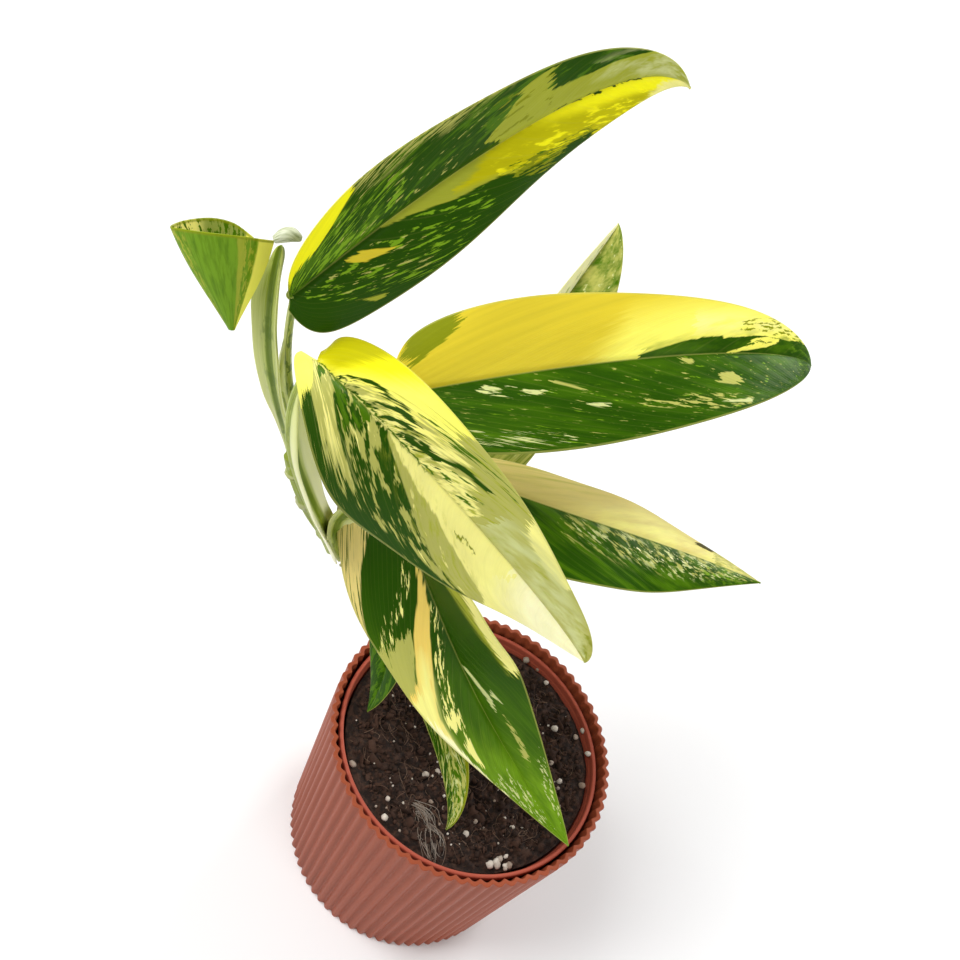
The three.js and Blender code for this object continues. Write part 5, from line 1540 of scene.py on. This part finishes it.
class MONSTERA_OT_soil(Operator):
    """Builds the soil with its crumbs, bark, perlite, fibres and root tuft"""

    bl_idname = "monstera.soil"
    bl_label = "Soil"

    def execute(self, context):
        look = context.scene.monstera_soil
        bed = mesh_object("soil_bed", [soil_shell(look, *SOIL_GRID)])
        dress(bed, soil_shader(look), "soil", "soil")
        crumbs = mesh_object("soil_crumbs", crumb_shells(look))
        dress(crumbs, grain_shader("crumbs", look.dark, look.light), "soil")
        perlite = mesh_object("perlite", perlite_shells(look))
        dress(perlite, grain_shader("perlite_grain", look.fibre, look.grain), "soil")
        fibres = mesh_object("coco_fibres", [fibre_shell(look)])
        dress(fibres, grain_shader("coco_fibre", look.light, look.fibre), "soil")
        tuft = mesh_object("root_tuft", [tuft_shell(look)])
        dress(tuft, grain_shader("dry_root", look.fibre, look.root), "soil")
        return {"FINISHED"}


class MONSTERA_OT_stem(Operator):
    """Builds the stem with its nodes and root stubs"""

    bl_idname = "monstera.stem"
    bl_label = "Stem"

    def execute(self, context):
        look = context.scene.monstera_stalks
        piece = mesh_object("jointed_stem", stem_shells(look))
        dress(piece, stem_shader(look), "stem", "stem")
        return {"FINISHED"}


class MONSTERA_OT_petioles(Operator):
    """Builds the winged petioles"""

    bl_idname = "monstera.petioles"
    bl_label = "Petioles"

    def execute(self, context):
        look = context.scene.monstera_stalks
        for name, leaf in (*LEAVES.items(), ("youngest", ROLLED)):
            end = leaf.get("end", leaf.get("base"))
            shell = petiole_shell(leaf, end, look, PETIOLE_STEPS)
            piece = mesh_object(f"winged_petiole_{name}", [shell])
            pale = SHEATH_SHARE.get(name, USUAL_SHEATH_SHARE)
            shader = petiole_shader(f"petiole_skin_{name}", look, pale)
            dress(piece, shader, "petiole", f"petiole_{name}")
        return {"FINISHED"}


class MONSTERA_OT_blades(Operator):
    """Builds the open blades with their variegation"""

    bl_idname = "monstera.blades"
    bl_label = "Blades"

    def execute(self, context):
        look = context.scene.monstera_blades
        for name, leaf in LEAVES.items():
            grid = SMALL_BLADE_GRID if name.startswith("low_") else BLADE_GRID
            piece = mesh_object(f"variegated_blade_{name}", [blade_shell(leaf, look, grid)])
            shader = blade_shader(f"blade_skin_{name}", leaf, PATTERNS[name], look)
            dress(piece, shader, "blade", f"blade_{name}")
        return {"FINISHED"}


class MONSTERA_OT_youngest(Operator):
    """Builds the rolled youngest blade and the shoot beside it"""

    bl_idname = "monstera.youngest"
    bl_label = "Youngest blade and shoot"

    def execute(self, context):
        look = context.scene.monstera_blades
        piece = mesh_object("rolled_young_blade", [rolled_shell(ROLLED, look, ROLLED_GRID)])
        dress(piece, rolled_shader(look), "young_blade", "blade_youngest")
        shoot = mesh_object("sheathed_shoot", [shoot_shell()])
        dress(shoot, shoot_shader(context.scene.monstera_stalks), "shoot", "shoot")
        return {"FINISHED"}


def area_light(name, place, target, size, power):
    """A soft square light at a place in metres, turned to a target."""
    data = bpy.data.lights.new(name, "AREA")
    data.shape = "SQUARE"
    data.size = size
    data.energy = power
    light = bpy.data.objects.new(name, data)
    light.location = place
    light.rotation_euler = (Vector(target) - Vector(place)).to_track_quat("-Z", "Y").to_euler()
    bpy.context.scene.collection.objects.link(light)


class MONSTERA_OT_stage(Operator):
    """Builds the floor, the lights and the camera"""

    bl_idname = "monstera.stage"
    bl_label = "Stage"

    def execute(self, context):
        scene = context.scene
        look = scene.monstera_stage
        corners = np.array([(-1, -1, 0), (1, -1, 0), (1, 1, 0), (-1, 1, 0)], float) * FLOOR_REACH
        floor = mesh_object("floor", [Shell(corners, [[(0, 1, 2, 3)]], corners * 0)])
        shader = Shader("floor_paint", Roughness=0.9, Specular_IOR_Level=0.1)
        shader.surface.inputs["Base Color"].default_value = (*look.floor_colour, 1)
        floor.data.materials.append(shader.material)
        for name, place, size, setting in LIGHTS:
            area_light(name, place, LIGHT_TARGET, size, getattr(look, setting))
        world = bpy.data.worlds.new("studio")
        world.use_nodes = True
        sky = world.node_tree.nodes["Background"]
        sky.inputs["Color"].default_value = (1, 1, 1, 1)
        sky.inputs["Strength"].default_value = look.sky
        scene.world = world
        scene.view_settings.view_transform = "Standard"
        data = bpy.data.cameras.new("camera")
        data.sensor_width = look.sensor_width
        data.lens = look.focal_length
        camera = bpy.data.objects.new("camera", data)
        back = -Vector(CAMERA["look"]).normalized()
        up = Vector(CAMERA["top"]).normalized()
        camera.matrix_world = Matrix.Translation(Vector(CAMERA["place"]) * MM) @ Matrix((
            (*up.cross(back), 0), (*up, 0), (*back, 0), (0, 0, 0, 1),
        )).inverted_safe()
        scene.collection.objects.link(camera)
        scene.camera = camera
        return {"FINISHED"}


class MONSTERA_PT_panel(Panel):
    """Lists the settings and the builders"""

    bl_label = "Potted monstera"
    bl_space_type = "VIEW_3D"
    bl_region_type = "UI"
    bl_category = "Monstera"

    def draw(self, context):
        for name, group in GROUPS.items():
            box = self.layout.box()
            settings = getattr(context.scene, name)
            for key in group.__annotations__:
                box.prop(settings, key)
        for operator in OPERATORS:
            self.layout.operator(operator.bl_idname)


GROUPS = {
    "monstera_pots": MONSTERA_PG_pots,
    "monstera_soil": MONSTERA_PG_soil,
    "monstera_blades": MONSTERA_PG_blades,
    "monstera_stalks": MONSTERA_PG_stalks,
    "monstera_stage": MONSTERA_PG_stage,
}
OPERATORS = (
    MONSTERA_OT_cover_pot, MONSTERA_OT_grow_pot, MONSTERA_OT_soil, MONSTERA_OT_stem,
    MONSTERA_OT_petioles, MONSTERA_OT_blades, MONSTERA_OT_youngest, MONSTERA_OT_stage,
)


def register():
    for group in GROUPS.values():
        bpy.utils.register_class(group)
    for name, group in GROUPS.items():
        setattr(bpy.types.Scene, name, PointerProperty(type=group))
    for operator in OPERATORS:
        bpy.utils.register_class(operator)
    bpy.utils.register_class(MONSTERA_PT_panel)


def unregister():
    bpy.utils.unregister_class(MONSTERA_PT_panel)
    for operator in reversed(OPERATORS):
        bpy.utils.unregister_class(operator)
    for name, group in reversed(GROUPS.items()):
        delattr(bpy.types.Scene, name)
        bpy.utils.unregister_class(group)


def main():
    """Builds the whole object."""
    register()
    bpy.ops.monstera.cover_pot()
    bpy.ops.monstera.grow_pot()
    bpy.ops.monstera.soil()
    bpy.ops.monstera.stem()
    bpy.ops.monstera.petioles()
    bpy.ops.monstera.blades()
    bpy.ops.monstera.youngest()
    bpy.ops.monstera.stage()
    bpy.context.view_layer.update()


if __name__ == "__main__":
    main()
